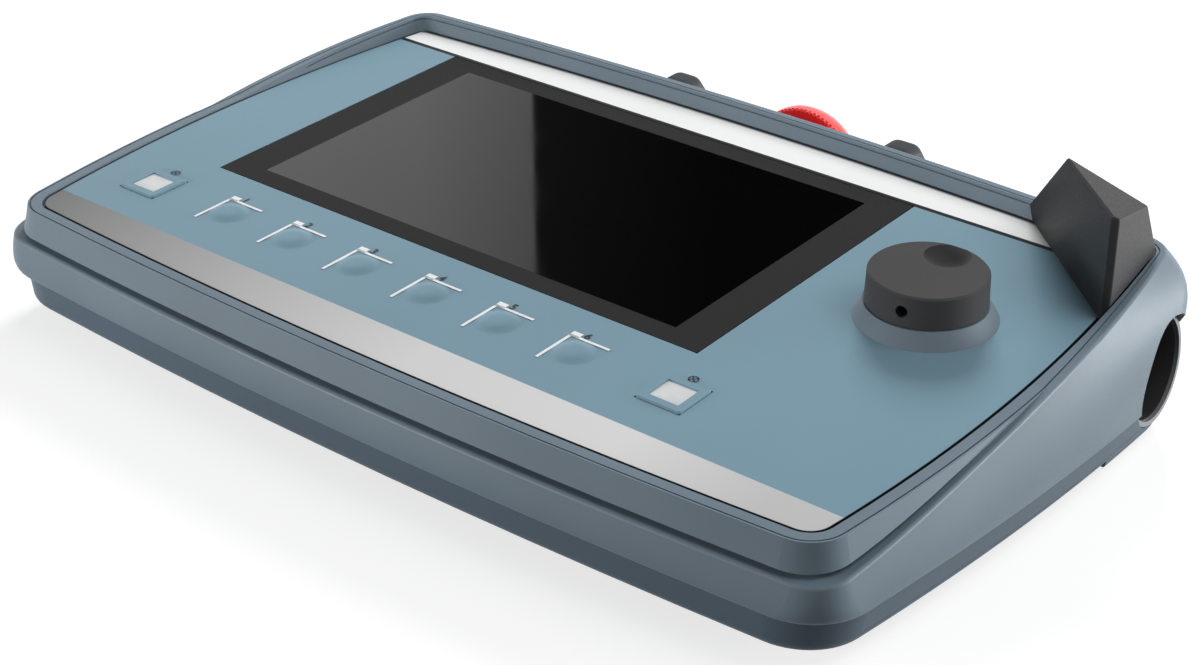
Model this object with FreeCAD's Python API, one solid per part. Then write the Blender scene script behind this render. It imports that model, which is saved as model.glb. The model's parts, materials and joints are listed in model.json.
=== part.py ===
import FreeCAD
import Part
import math
import os
from FreeCAD import Vector

# Hand-held machine operator panel: wedge-shaped housing, touch display, keys, handwheel and emergency stop.
# Millimetres. The part rests on its feet with +Z up, the operator stands on the -Y side.
# Panel frame: x from the housing's middle, y from the display's middle to the rear, z out of the plate.

# Attitude of the front plate above the table
panel_tilt = 4.4
panel_height = 43.3

# Front plate outline
plate_half = 140.8
plate_front = -106.7
plate_rear = 68.0
plate_bow = 540.0
plate_wide_y = -24.0
front_bow = 2000.0
rear_bow = 1800.0
plate_corner_front = 6.6
plate_corner_rear = 2.5
plate_thickness = 1.6
shadow_gap = 0.8

# Front shell: rim, shoulder groove, belt and deck
rim_proud = 0.3
rim_width = 4.9
rim_foot_width = 7.2
rim_depth = 9.0
groove_height = 1.5
groove_core = 4.7
crease_out = 4.4
crease_width = 0.45
crease_depth = 0.5
crease_rear_drop = 0.65
crease_rear_run = 54.0
shoulder_front = -7.2
shoulder_waist = -3.4
shoulder_middle = 2.0
shoulder_rear = 4.2
shoulder_front_run = 22.0
shoulder_waist_run = 56.0
shoulder_middle_run = 59.0
shoulder_rear_run = 9.0
shoulder_over = 45.0
wall_lean = 0.6
deck_thickness = 2.4
cavity_margin = 1.5
belt_bow = 1100.0
belt_wide_y = 10.0
belt_crest_grow = 5.2
belt_crest_back = 6.9
belt_crest_z = 5.0
belt_crest_corner_rear = 10.0
belt_crest_round = 1.0
belt_flare_side = 10.2
belt_flare_front = 9.2
belt_flare_rear = 14.0
belt_waist_z = -13.0
belt_waist_corner_front = 12.0
belt_waist_corner_rear = 26.0
belt_brow_in_side = 1.4
belt_brow_in_front = 1.5
belt_brow_in_rear = 2.5
belt_brow_z = -7.0
belt_brow_corner_front = 10.4
belt_brow_corner_rear = 17.0
belt_foot_in_side = 0.2
belt_foot_in_front = 2.0
belt_foot_out_rear = 2.5
belt_foot_corner_front = 20.0
belt_foot_corner_rear = 27.0
belt_wall = 6.5

# Rear shell: shallow tub with a deeper rear half
parting_z = 15.6
tub_inset = 0.8
tub_draft = 1.6
tub_wall = 3.0
tub_floor = 2.6
tub_bottom_z = 4.8
tub_edge_round = 3.6
step_y = 27.0
step_bottom_z = 2.0
step_inset = 1.0
step_round = 2.4
seal_inset = 1.1
seal_width = 0.9
seal_depth = 1.0

# Display
display_x = -22.4
glass_width = 176.6
glass_depth = 105.7
glass_corner = 1.0
glass_gap = 0.3
lcd_width = 165.0
lcd_depth = 100.0
lcd_thickness = 5.4
lcd_gap = 0.5
bracket_width = 186.0
bracket_depth = 108.0
bracket_thickness = 1.2
bracket_window_width = 126.0
bracket_window_depth = 66.0
bracket_screw_in = 4.0
bracket_screw_back = 9.0
deck_boss_radius = 3.2

# Boards behind the display
board_thickness = 1.6
board_width = 152.0
board_depth = 88.0
board_stand = 4.8
board_screw_in = 6.0
board_screw_back = 4.0
stand_radius = 2.8
processor_size = 24.0
processor_height = 2.2
memory_width = 14.0
memory_depth = 10.0
memory_height = 1.2
header_width = 40.0
header_depth = 7.0
header_height = 6.0

# Function keys and their board
key_count = 6
key_pitch = 25.5
key_first_x = -64.4
key_y = -72.3
key_radius = 5.6
key_dome = 0.9
key_gap = 0.15
key_flange = 1.3
key_flange_thickness = 0.7
key_stem_radius = 3.0
key_stem_length = 3.4
key_travel = 0.5
key_board_end = 8.8
key_board_depth = 26.0
key_board_y = -73.0
key_board_drop = 2.0
key_board_screw_in = 21.5
key_board_screw_back = 3.2
snap_radius = 3.0
snap_height = 0.45

# Illuminated pushbuttons
lamp_in = 22.7
lamp_y = -72.8
lamp_size = 14.0
lamp_gap = 0.15
lamp_proud = 0.6
lamp_round = 1.0
lamp_bevel = 0.4
lamp_flange = 1.0
lamp_flange_thickness = 0.8
lamp_travel = 0.8
lens_width = 9.4
lens_depth = 8.8
lens_sink = 0.35
lens_length = 4.4
lens_gap = 0.6
led_size = 3.0
led_height = 0.6

# Handwheel
wheel_in = 38.8
wheel_y = 0.0
collar_radius = 19.6
collar_top_radius = 16.9
collar_height = 4.6
collar_floor = 1.2
knob_gap = 0.3
knob_radius = 16.5
knob_top_radius = 16.2
knob_height = 9.0
knob_edge = 0.5
dimple_radius = 6.4
dimple_depth = 3.6
dimple_y = 9.6
grip_screw_angle = -83.0
grip_screw_z = 4.2
grip_screw_radius = 1.7
grip_screw_length = 6.0
shaft_radius = 3.0
shaft_run = 0.05
shaft_in_knob = 6.6
shaft_in_encoder = 8.0
encoder_size = 26.0
encoder_height = 13.0
encoder_corner = 2.0
bush_radius = 4.75
bush_length = 7.5
bush_gap = 0.25
nut_flats = 12.0
nut_height = 2.4
nut_room = 8.4

# Corner guard beside the handwheel
guard_height = 30.0
guard_right_height = 30.6
guard_rear_height = 23.9
guard_waist_height = 4.6
guard_right_back = 41.2
guard_slope = -0.941
guard_gap = 0.3
guard_crest_left_in = 29.0
guard_crest_lean = 0.6
guard_crest_rear_back = 18.0
guard_corner_in = 8.8
guard_corner_back = 6.0
guard_bevel = 3.0
guard_round = 0.8
guard_screw_in = 23.3
guard_steps = 12
guard_screw_radius = 1.5
guard_screw_bite = 8.0
guard_screw_back = 7.0
guard_screw_spread = 5.5

# Emergency stop on the rear wall
stop_z = -22.5
stop_boss_radius = 17.0
stop_boss_proud = 2.0
stop_boss_length = 15.0
stop_boss_gap = 0.3
stop_hole = 11.2
stop_body_radius = 11.0
stop_body_length = 24.0
stop_collar_radius = 16.5
stop_collar_length = 5.0
stop_collar_edge = 1.0
stop_nut_flats = 27.0
stop_nut_length = 4.0
stop_plunger_radius = 8.0
stop_neck_radius = 5.0
stop_run = 0.05
stop_rest_gap = 1.5
stop_head_radius = 18.9
stop_head_rim = 2.4
stop_head_length = 9.0
stop_head_face = 13.0
stop_neck_length = 6.0
stop_head_gap = 0.3
stop_tooth_count = 72
stop_tooth_radius = 0.55
stop_tooth_length = 0.9
stop_travel = 4.5
stop_block_width = 30.0
stop_block_height = 25.0
stop_block_length = 10.0

# Bumper horns on both sides of the emergency stop
horn_x = 41.5
horn_width = 12.0
horn_nose_out = 7.0
horn_nose_z = 0.4
horn_flat = 6.0
horn_tip_out = 14.0
horn_tip_z = -9.0
horn_chin_z = -22.0
horn_low_z = -31.0
horn_root_z = -2.5
horn_round = 4.0
horn_screw_z = -16.0
horn_screw_bite = 9.0
horn_seat_in = 13.0
horn_seat_radius = 4.0

# Cable port at the right rear
port_sink = 4.6
port_y = 51.5
port_z = -24.4
port_turn = 2.0
port_rise = 5.0
port_radius = 16.4
port_bore = 14.8
port_length = 30.0
port_end = 3.0
port_hole_gap = 0.2
port_ring_length = 1.2
port_ring_bore = 15.0
port_clear = 50.0
socket_radius = 11.5
socket_length = 12.0
socket_hole_radius = 1.2
socket_hole_circle = 7.0
socket_hole_count = 8
socket_hole_depth = 6.0

# Enabling buttons on the underside
enable_in = 38.8
enable_y = -15.0
enable_length = 64.0
enable_width = 18.0
enable_gap = 0.3
enable_proud = 2.0
enable_flange = 2.0
enable_flange_thickness = 1.5
enable_travel = 3.0
enable_stem_radius = 4.0
enable_stem_run = 0.08
enable_bridge_length = 90.0
enable_bridge_width = 12.0
enable_bridge_thickness = 2.5
enable_bridge_gap = 1.1
enable_case_length = 40.0
enable_case_width = 20.0
enable_case_height = 8.5
enable_post_radius = 4.0
enable_edge = 1.0
enable_grip_count = 7
enable_grip_pitch = 7.0
enable_grip_radius = 1.6
enable_grip_depth = 0.7

# Terminal board beside the cable port
terminal_in = 44.0
terminal_y = 32.0
terminal_width = 60.0
terminal_depth = 44.0
terminal_stand = 6.0
terminal_block_width = 44.0
terminal_block_depth = 9.0
terminal_block_height = 9.0

# Housing screws, feet and small screws
case_screw_side_in = 20.3
case_screw_front_in = 21.9
case_screw_middle_y = -20.0
case_screw_rear_in = 17.5
case_screw_rear_x = 75.0
case_screw_radius = 1.5
case_screw_head = 2.9
case_screw_head_height = 2.0
case_screw_socket = 2.5
case_screw_socket_depth = 1.2
case_boss_radius = 4.2
case_screw_bite = 9.0
foot_in = 38.8
foot_front_in = 29.9
foot_rear_in = 26.5
foot_radius = 7.0
foot_recess = 0.8
foot_edge = 0.8
small_screw_radius = 1.2
small_screw_head = 2.3
small_screw_head_height = 1.5
small_screw_bite = 2.6
screw_gap = 0.05

X = Vector(1, 0, 0)
Y = Vector(0, 1, 0)
Z = Vector(0, 0, 1)
ORIGIN = Vector(0, 0, 0)
REACH = 400.0
tiny = 0.01

plate = (plate_half, plate_front, plate_rear, plate_bow, plate_wide_y, front_bow, rear_bow,
         plate_corner_front, plate_corner_rear)
belt_waist_half = plate_half + belt_flare_side
belt_waist_front = plate_front - belt_flare_front
belt_waist_rear = plate_rear + belt_flare_rear
belt_brow_rear = belt_waist_rear - belt_brow_in_rear
belt_foot_half = belt_waist_half - belt_foot_in_side
belt_foot_front = belt_waist_front + belt_foot_in_front
belt_foot_rear = belt_waist_rear + belt_foot_out_rear
belt_crest = (plate_half + belt_crest_grow, plate_front - belt_crest_grow, plate_rear + belt_crest_back,
              plate_bow, plate_wide_y, front_bow, rear_bow,
              plate_corner_front + belt_crest_grow, belt_crest_corner_rear)
belt_brow = (belt_waist_half - belt_brow_in_side, belt_waist_front + belt_brow_in_front, belt_brow_rear,
             belt_bow, belt_wide_y, front_bow, rear_bow, belt_brow_corner_front, belt_brow_corner_rear)
belt_waist = (belt_waist_half, belt_waist_front, belt_waist_rear, belt_bow, belt_wide_y, front_bow, rear_bow,
              belt_waist_corner_front, belt_waist_corner_rear)
belt_foot = (belt_foot_half, belt_foot_front, belt_foot_rear, belt_bow, belt_wide_y, front_bow, rear_bow,
             belt_foot_corner_front, belt_foot_corner_rear)

deck_top_z = -plate_thickness
deck_under_z = deck_top_z - deck_thickness
lcd_under_z = deck_top_z - lcd_thickness
bracket_under_z = lcd_under_z - bracket_thickness
board_top_z = bracket_under_z - board_stand
board_under_z = board_top_z - board_thickness
key_board_top_z = deck_under_z - key_board_drop
key_board_under_z = key_board_top_z - board_thickness
floor_z = tub_bottom_z + tub_floor
enable_bridge_z = floor_z + enable_flange_thickness + enable_travel + enable_bridge_gap
lamp_x = plate_half + display_x - lamp_in
key_board_width = 2 * (lamp_x + key_board_end)
enable_x = belt_foot_half - enable_in
terminal_x = enable_x - terminal_in
foot_x = belt_foot_half - foot_in
foot_front_y = belt_foot_front + foot_front_in
foot_rear_y = belt_foot_rear - foot_rear_in
wheel_x = plate_half - wheel_in
guard_right_y = plate_rear - guard_right_back
port_x = belt_waist_half - port_sink
stop_boss_out = belt_waist_rear + stop_boss_proud
stop_boss_in = stop_boss_out - stop_boss_length
stop_body_in = stop_boss_out - stop_body_length
stop_head_y = stop_boss_out + stop_collar_length + stop_travel + stop_rest_gap
horn_nose_y = belt_waist_rear + horn_nose_out
horn_tip_y = belt_waist_rear + horn_tip_out
horn_seat_y = belt_waist_rear - horn_seat_in
case_screw_points = [
    (side * x, y) for side in (-1, 1) for x, y in (
        (belt_foot_half - case_screw_side_in, belt_foot_front + case_screw_front_in),
        (belt_foot_half - case_screw_side_in, case_screw_middle_y),
        (case_screw_rear_x, belt_foot_rear - case_screw_rear_in),
    )
]


def on_panel(shape):
    """Carries a shape from the panel frame to the resting frame."""
    placed = shape.copy()
    placed.rotate(ORIGIN, X, panel_tilt)
    placed.translate(Vector(0, 0, panel_height))
    return placed


def grown(outline, by):
    """The outline moved outwards by a distance, inwards where it is negative."""
    half, front, rear, bow, wide_y, bow_front, bow_rear, corner_front, corner_rear = outline
    return (half + by, front - by, rear + by, bow + by, wide_y, bow_front + by, bow_rear + by,
            corner_front + by, corner_rear + by)


def side_at(outline, y):
    """Half width of the outline's bowed side at a distance y."""
    half, bow, wide_y = outline[0], outline[3], outline[4]
    return half - bow + math.sqrt(bow ** 2 - (y - wide_y) ** 2)


def rear_at(outline, x):
    """Distance of the outline's bowed rear edge at a place x."""
    rear, bow = outline[2], outline[6]
    return rear - bow + math.sqrt(bow ** 2 - x ** 2)


def circles_meet(first, first_radius, second, second_radius):
    """The right hand meeting point of two circles, seen from the first centre to the second."""
    across = second - first
    reach = across.Length
    along = (first_radius ** 2 - second_radius ** 2 + reach ** 2) / (2 * reach)
    aside = math.sqrt(first_radius ** 2 - along ** 2)
    across.normalize()
    return first + across * along + Vector(across.y, -across.x, 0) * aside


def outline_wire(outline, z):
    """Rounded rectangle with four bowed edges, as one closed wire of eight arcs."""
    half, front, rear, bow, wide_y, bow_front, bow_rear, corner_front, corner_rear = outline
    side_centre = Vector(half - bow, wide_y, 0)
    front_centre = Vector(0, front + bow_front, 0)
    rear_centre = Vector(0, rear - bow_rear, 0)
    height = Vector(0, 0, z)
    front_pin = circles_meet(side_centre, bow - corner_front, front_centre, bow_front - corner_front)
    rear_pin = circles_meet(rear_centre, bow_rear - corner_rear, side_centre, bow - corner_rear)

    def outwards(pin, centre):
        way = pin - centre
        way.normalize()
        return way

    def corner(pin, radius, first, second):
        middle = first + second
        middle.normalize()
        return [pin + way * radius + height for way in (first, middle, second)]

    def mirrored(point):
        return Vector(-point.x, point.y, point.z)

    front_edge, front_middle, front_side = corner(
        front_pin, corner_front, outwards(front_pin, front_centre), outwards(front_pin, side_centre))
    rear_side, rear_middle, rear_edge = corner(
        rear_pin, corner_rear, outwards(rear_pin, side_centre), outwards(rear_pin, rear_centre))
    widest = Vector(half, wide_y, z)
    foremost = Vector(0, front, z)
    rearmost = Vector(0, rear, z)
    edges = [
        Part.Arc(mirrored(front_edge), foremost, front_edge),
        Part.Arc(front_edge, front_middle, front_side),
        Part.Arc(front_side, widest, rear_side),
        Part.Arc(rear_side, rear_middle, rear_edge),
        Part.Arc(rear_edge, rearmost, mirrored(rear_edge)),
        Part.Arc(mirrored(rear_edge), mirrored(rear_middle), mirrored(rear_side)),
        Part.Arc(mirrored(rear_side), mirrored(widest), mirrored(front_side)),
        Part.Arc(mirrored(front_side), mirrored(front_middle), mirrored(front_edge)),
    ]
    return Part.Wire([edge.toShape() for edge in edges])


def prism(outline, low, high):
    """Straight block of an outline between two heights."""
    return Part.Face(outline_wire(outline, low)).extrude(Vector(0, 0, high - low))


def block(x, y, width, depth, low, high):
    """Box centred on x and y between two heights."""
    return Part.makeBox(width, depth, high - low, Vector(x - width / 2, y - depth / 2, low))


def rounded_block(x, y, width, depth, low, high, radius):
    """Box with rounded upright edges."""
    box = block(x, y, width, depth, low, high)
    upright = [e for e in box.Edges if abs(e.Vertexes[0].Z - e.Vertexes[1].Z) > (high - low) / 2]
    return box.makeFillet(radius, upright)


def rod(radius, x, y, low, high):
    """Upright cylinder between two heights."""
    return Part.makeCylinder(radius, high - low, Vector(x, y, low), Z)


def rear_rod(radius, x, z, near, far):
    """Cylinder that runs towards the rear, between two distances."""
    return Part.makeCylinder(radius, far - near, Vector(x, near, z), Y)


def stadium(x, y, width, length, low, high):
    """Block with two round ends, long in y."""
    radius = width / 2
    half = length / 2 - radius
    ends = [rod(radius, x, y - half, low, high), rod(radius, x, y + half, low, high)]
    return block(x, y, width, 2 * half, low, high).fuse(ends).removeSplitter()


def hexagon(flats, low, high):
    """Hexagonal bar about the z axis between two heights."""
    corner = flats / math.sqrt(3)
    points = [Vector(corner * math.cos(math.radians(60 * i)), corner * math.sin(math.radians(60 * i)), low)
              for i in range(7)]
    return Part.Face(Part.makePolygon(points)).extrude(Vector(0, 0, high - low))


def screw(head_radius, head_height, radius, x, y, seat, tip, upwards):
    """Pan head screw along z: its head lies under the seat when it points upwards, above it otherwise."""
    if upwards:
        head = rod(head_radius, x, y, seat - head_height, seat)
        shank = rod(radius, x, y, seat, tip)
    else:
        head = rod(head_radius, x, y, seat, seat + head_height)
        shank = rod(radius, x, y, tip, seat)
    return head.fuse(shank)


def small_screws(points, seat, tip):
    """Group of small screws that point upwards, in the panel frame."""
    made = [screw(small_screw_head, small_screw_head_height, small_screw_radius, x, y, seat, tip, True)
            for x, y in points]
    return on_panel(Part.makeCompound(made))


def corners(x, y, half_width, half_depth):
    """The four corners of a rectangle."""
    return [(x + i * half_width, y + j * half_depth) for i in (-1, 1) for j in (-1, 1)]


def shoulder_block(rise):
    """Everything below the belt's shoulder line, which climbs to the rear, in the panel frame."""
    heights = (
        (plate_front - shoulder_over, shoulder_front),
        (plate_front + shoulder_front_run, shoulder_front),
        (plate_front + shoulder_waist_run, shoulder_waist),
        (plate_rear - shoulder_middle_run, shoulder_middle),
        (plate_rear - shoulder_rear_run, shoulder_rear),
        (plate_rear + shoulder_over, shoulder_rear),
    )
    points = [Vector(-REACH / 2, y, z + rise) for y, z in heights]
    line = Part.BSplineCurve()
    line.interpolate(points)
    low = Vector(0, 0, -REACH)
    ring = [
        line.toShape(),
        Part.makeLine(points[-1], points[-1] + low),
        Part.makeLine(points[-1] + low, points[0] + low),
        Part.makeLine(points[0] + low, points[0]),
    ]
    return Part.Face(Part.Wire(ring)).extrude(Vector(REACH, 0, 0))


def leaning_block(out, high):
    """Block round the plate from its top plane up, whose sides lean outwards as the rear wall does."""
    return Part.makeLoft([outline_wire(grown(plate, out), 0),
                          outline_wire(grown(plate, out + wall_lean * high), high)], True, True)


def belt_solid():
    """Outer form of the belt from the parting plane to above its shoulder, filled."""
    crest = on_panel(outline_wire(belt_crest, belt_crest_z))
    brow = on_panel(outline_wire(belt_brow, belt_brow_z))
    waist = on_panel(outline_wire(belt_waist, belt_waist_z))
    foot = outline_wire(belt_foot, parting_z)
    return Part.makeLoft([crest, brow, waist, foot], True, False)


def rise_of(face):
    """How squarely a face looks upwards."""
    first_u, last_u, first_v, last_v = face.ParameterRange
    return face.normalAt((first_u + last_u) / 2, (first_v + last_v) / 2).z


def port_rod(radius, near, far):
    """Cylinder along the cable port's axis, which looks up a little, counted outwards from its mouth."""
    turn = math.radians(port_turn)
    rise = math.radians(port_rise)
    axis = Vector(math.cos(rise) * math.cos(turn), math.cos(rise) * math.sin(turn), math.sin(rise))
    start = Vector(port_x, port_y, port_z) + axis * near
    return on_panel(Part.makeCylinder(radius, far - near, start, axis))


def port_hole():
    """Room for the cable sleeve in the housing."""
    return port_rod(port_radius + port_hole_gap, -port_length - port_hole_gap, port_clear)


def key_places():
    return [(display_x + key_first_x + i * key_pitch, key_y) for i in range(key_count)]


def lamp_places():
    return [(display_x - lamp_x, lamp_y), (display_x + lamp_x, lamp_y)]


def guard_line(x):
    """The guard's front line on the plate: its y at a place x."""
    base = grown(plate, shadow_gap - guard_gap)
    return guard_right_y + guard_slope * (x - side_at(base, guard_right_y))


def guard_places():
    """Screw places under the corner guard, behind its front line."""
    x = plate_half - guard_screw_in
    y = guard_line(x) + guard_screw_back
    out = guard_screw_spread
    return [(x - out, y + out), (x + out, y - out)]


def key_board_bosses():
    x = key_board_width / 2 - key_board_screw_in
    y = key_board_depth / 2 - key_board_screw_back
    return corners(display_x, key_board_y, x, y)


def bracket_bosses():
    x = bracket_width / 2 - bracket_screw_in
    y = bracket_depth / 2 - bracket_screw_back
    return corners(display_x, 0, x, y)


def front_shell():
    """Upper housing: rim with a fine crease, styled groove, flared belt, deck and screw bosses."""
    rim = Part.makeLoft([outline_wire(grown(plate, rim_foot_width), -rim_depth),
                         outline_wire(grown(plate, rim_width), rim_proud)], True, True)
    outside = shoulder_block(groove_height).cut(prism(grown(plate, groove_core), -REACH, REACH))
    rim = on_panel(rim.cut(outside))
    belt = belt_solid().common(on_panel(shoulder_block(0))).Solids[0]
    belt = belt.makeFillet(belt_crest_round, max(belt.Faces, key=rise_of).Edges)
    stop_boss = on_panel(rear_rod(stop_boss_radius, 0, stop_z, stop_boss_in, stop_boss_out))
    shell = belt.fuse(rim)

    pocket = prism(grown(plate, shadow_gap), deck_top_z, 0)
    above = 2 * belt_crest_z
    pocket = on_panel(pocket.fuse(leaning_block(shadow_gap, above)))
    roof = on_panel(outline_wire(grown(plate, cavity_margin), deck_under_z))
    mouth = outline_wire(grown(belt_foot, -belt_wall), parting_z)
    cavity = Part.makeLoft([roof, mouth], True, True)
    crease_low = rim_proud - crease_depth
    crease = prism(grown(plate, crease_out), crease_low, above)
    inside = prism(grown(plate, crease_out - crease_width), crease_low, above)
    crease = on_panel(crease.cut([inside, shoulder_block(-crease_depth)]))
    rear_crease = leaning_block(shadow_gap + crease_depth, above)
    rear_crease = rear_crease.common(block(0, plate_rear, REACH, 2 * crease_rear_run, 0, above))
    rear_crease = rear_crease.common(shoulder_block(-crease_rear_drop))
    rear_crease = on_panel(rear_crease.cut(shoulder_block(-crease_rear_drop - crease_width)))
    shell = shell.cut([pocket, cavity, crease, rear_crease])

    bosses = [stop_boss]
    for x, y in bracket_bosses():
        bosses.append(on_panel(rod(deck_boss_radius, x, y, lcd_under_z, deck_under_z)))
    for x, y in key_board_bosses():
        bosses.append(on_panel(rod(deck_boss_radius, x, y, key_board_top_z, deck_under_z)))
    roof_block = on_panel(prism(grown(plate, cavity_margin), -REACH, deck_under_z))
    for x, y in case_screw_points:
        bosses.append(rod(case_boss_radius, x, y, parting_z, REACH).common(roof_block))
    for side in (-1, 1):
        seat = rear_rod(horn_seat_radius, side * horn_x, horn_screw_z, horn_seat_y, belt_brow_rear)
        bosses.append(on_panel(seat).common(belt_solid()))
    shell = shell.fuse(bosses)

    cuts = [block(display_x, 0, lcd_width + 2 * lcd_gap, lcd_depth + 2 * lcd_gap, deck_under_z, 0)]
    for x, y in key_places():
        sink = key_flange_thickness + key_travel + key_gap
        cuts.append(rod(key_radius + key_flange + 2 * key_gap, x, y, deck_top_z - sink, 0))
        cuts.append(rod(key_stem_radius + 2 * key_gap, x, y, deck_under_z, 0))
    for x, y in lamp_places():
        sink = lamp_flange_thickness + lamp_travel + lamp_gap
        flange = lamp_size + 2 * (lamp_flange + 2 * lamp_gap)
        cuts.append(block(x, y, flange, flange, deck_top_z - sink, 0))
        cuts.append(block(x, y, lens_width + 2 * lens_gap, lens_depth + 2 * lens_gap, deck_under_z, 0))
    cuts.append(rod(bush_radius + bush_gap, wheel_x, wheel_y, deck_under_z, 0))
    for x, y in guard_places():
        cuts.append(rod(guard_screw_radius + screw_gap, x, y, deck_under_z, 0))
    for x, y in bracket_bosses():
        cuts.append(rod(small_screw_radius + screw_gap, x, y, lcd_under_z, lcd_under_z + small_screw_bite))
    for x, y in key_board_bosses():
        cuts.append(rod(small_screw_radius + screw_gap, x, y,
                        key_board_top_z, key_board_top_z + small_screw_bite))
    cuts.append(rear_rod(stop_hole, 0, stop_z, stop_boss_in, stop_boss_out))
    for side in (-1, 1):
        cuts.append(rear_rod(guard_screw_radius + screw_gap, side * horn_x, horn_screw_z,
                             horn_seat_y, horn_screw_end()))
    tools = [on_panel(cut) for cut in cuts]
    tools.append(port_hole())
    for x, y in case_screw_points:
        tools.append(rod(case_screw_radius + screw_gap, x, y, parting_z, parting_z + case_screw_bite))
    return shell.cut(tools)


def tub_outline(z, inset):
    """Outline of the drafted tub at a height, moved inwards."""
    depth = (parting_z - z) / (parting_z - tub_bottom_z)
    return grown(belt_foot, -tub_inset - tub_draft * depth - inset)


def rear_shell():
    """Lower housing: drafted tub, deeper rear half, screw posts, seal groove and openings."""
    top = outline_wire(tub_outline(parting_z, 0), parting_z)
    bottom = outline_wire(tub_outline(tub_bottom_z, 0), tub_bottom_z)
    tub = Part.makeLoft([bottom, top], True, True)
    tub = tub.makeFillet(tub_edge_round, [e for e in tub.Edges if e.BoundBox.ZMax < tub_bottom_z + tiny])
    step = prism(tub_outline(tub_bottom_z, step_inset), step_bottom_z, floor_z)
    step = step.common(block(0, step_y + REACH / 2, REACH, REACH, 0, REACH))
    step = step.makeFillet(step_round, [e for e in step.Edges if e.BoundBox.ZMax < step_bottom_z + tiny])
    shell = tub.fuse(step)

    mouth = outline_wire(tub_outline(parting_z, tub_wall), parting_z)
    ground = outline_wire(tub_outline(floor_z, tub_wall), floor_z)
    shell = shell.cut(Part.makeLoft([ground, mouth], True, True))

    posts = [rod(case_boss_radius, x, y, floor_z, parting_z) for x, y in case_screw_points]
    for side in (-1, 1):
        for end in (-1, 1):
            y = enable_y + end * (enable_bridge_length - enable_bridge_width) / 2
            posts.append(rod(enable_post_radius, side * enable_x, y, floor_z, enable_bridge_z))
    for x, y in terminal_screws_places():
        posts.append(rod(stand_radius, x, y, floor_z, floor_z + terminal_stand))
    shell = shell.fuse(posts)

    seal = tub_outline(parting_z, seal_inset)
    groove = prism(seal, parting_z - seal_depth, parting_z)
    groove = groove.cut(prism(grown(seal, -seal_width), parting_z - seal_depth, parting_z))
    cuts = [groove]
    for side in (-1, 1):
        x = side * enable_x
        cuts.append(stadium(x, enable_y, enable_width + 2 * enable_gap, enable_length + 2 * enable_gap,
                            0, floor_z))
        for end in (-1, 1):
            y = enable_y + end * (enable_bridge_length - enable_bridge_width) / 2
            cuts.append(rod(small_screw_radius + screw_gap, x, y,
                            enable_bridge_z - small_screw_bite, enable_bridge_z))
        cuts.append(rod(foot_radius, x, foot_front_y, 0, tub_bottom_z + foot_recess))
        cuts.append(rod(foot_radius, x, foot_rear_y, 0, step_bottom_z + foot_recess))
    for x, y in terminal_screws_places():
        seat = floor_z + terminal_stand
        cuts.append(rod(small_screw_radius + screw_gap, x, y, seat - small_screw_bite, seat))
    for x, y in case_screw_points:
        seat = case_screw_seat(y)
        cuts.append(rod(case_screw_radius + screw_gap, x, y, 0, parting_z))
        cuts.append(rod(case_screw_head + screw_gap, x, y, 0, seat))
    cuts.append(port_hole())
    cuts.append(stop_boss_room())
    return shell.cut(cuts)


def stop_boss_room():
    """Room for the emergency stop's boss where it dips below the parting plane."""
    near = stop_boss_in - stop_boss_gap
    return on_panel(rear_rod(stop_boss_radius + stop_boss_gap, 0, stop_z, near, REACH / 2))


def case_screw_seat(y):
    """Height of a housing screw's seat, just above its counterbore in the underside."""
    bottom = step_bottom_z if y > step_y else tub_bottom_z
    return bottom + case_screw_head_height


def housing_seal():
    """Rubber cord in the groove of the parting plane, cut back where the port and the stop boss cross it."""
    seal = tub_outline(parting_z, seal_inset)
    ring = prism(seal, parting_z - seal_depth, parting_z)
    ring = ring.cut(prism(grown(seal, -seal_width), parting_z - seal_depth, parting_z))
    return ring.cut([port_hole(), stop_boss_room()])


def front_plate():
    """Decorated front plate with its window, key holes and handwheel hole."""
    sheet = prism(plate, deck_top_z, 0)
    cuts = [block(display_x, 0, glass_width + 2 * glass_gap, glass_depth + 2 * glass_gap, deck_top_z, 0)]
    cuts += [rod(key_radius + key_gap, x, y, deck_top_z, 0) for x, y in key_places()]
    lamp_hole = lamp_size + 2 * lamp_gap
    cuts += [block(x, y, lamp_hole, lamp_hole, deck_top_z, 0) for x, y in lamp_places()]
    cuts.append(rod(bush_radius + bush_gap, wheel_x, wheel_y, deck_top_z, 0))
    cuts += [rod(guard_screw_radius + screw_gap, x, y, deck_top_z, 0) for x, y in guard_places()]
    return on_panel(sheet.cut(cuts))


def display_glass():
    return on_panel(rounded_block(display_x, 0, glass_width, glass_depth, deck_top_z, 0, glass_corner))


def lcd_module():
    return on_panel(block(display_x, 0, lcd_width, lcd_depth, lcd_under_z, deck_top_z))


def lcd_bracket():
    """Sheet metal frame that presses the display module against the glass."""
    sheet = block(display_x, 0, bracket_width, bracket_depth, bracket_under_z, lcd_under_z)
    window = block(display_x, 0, bracket_window_width, bracket_window_depth, bracket_under_z, lcd_under_z)
    bore = small_screw_radius + screw_gap
    holes = [rod(bore, x, y, bracket_under_z, lcd_under_z) for x, y in bracket_bosses()]
    return on_panel(sheet.cut([window] + holes))


def board_places():
    return corners(display_x, 0, board_width / 2 - board_screw_in, board_depth / 2 - board_screw_back)


def board_stands():
    made = []
    for x, y in board_places():
        bore = rod(small_screw_radius + screw_gap, x, y, board_top_z, board_top_z + small_screw_bite)
        made.append(rod(stand_radius, x, y, board_top_z, bracket_under_z).cut(bore))
    return on_panel(Part.makeCompound(made))


def main_board():
    sheet = block(display_x, 0, board_width, board_depth, board_under_z, board_top_z)
    bore = small_screw_radius + screw_gap
    holes = [rod(bore, x, y, board_under_z, board_top_z) for x, y in board_places()]
    return on_panel(sheet.cut(holes))


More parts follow.
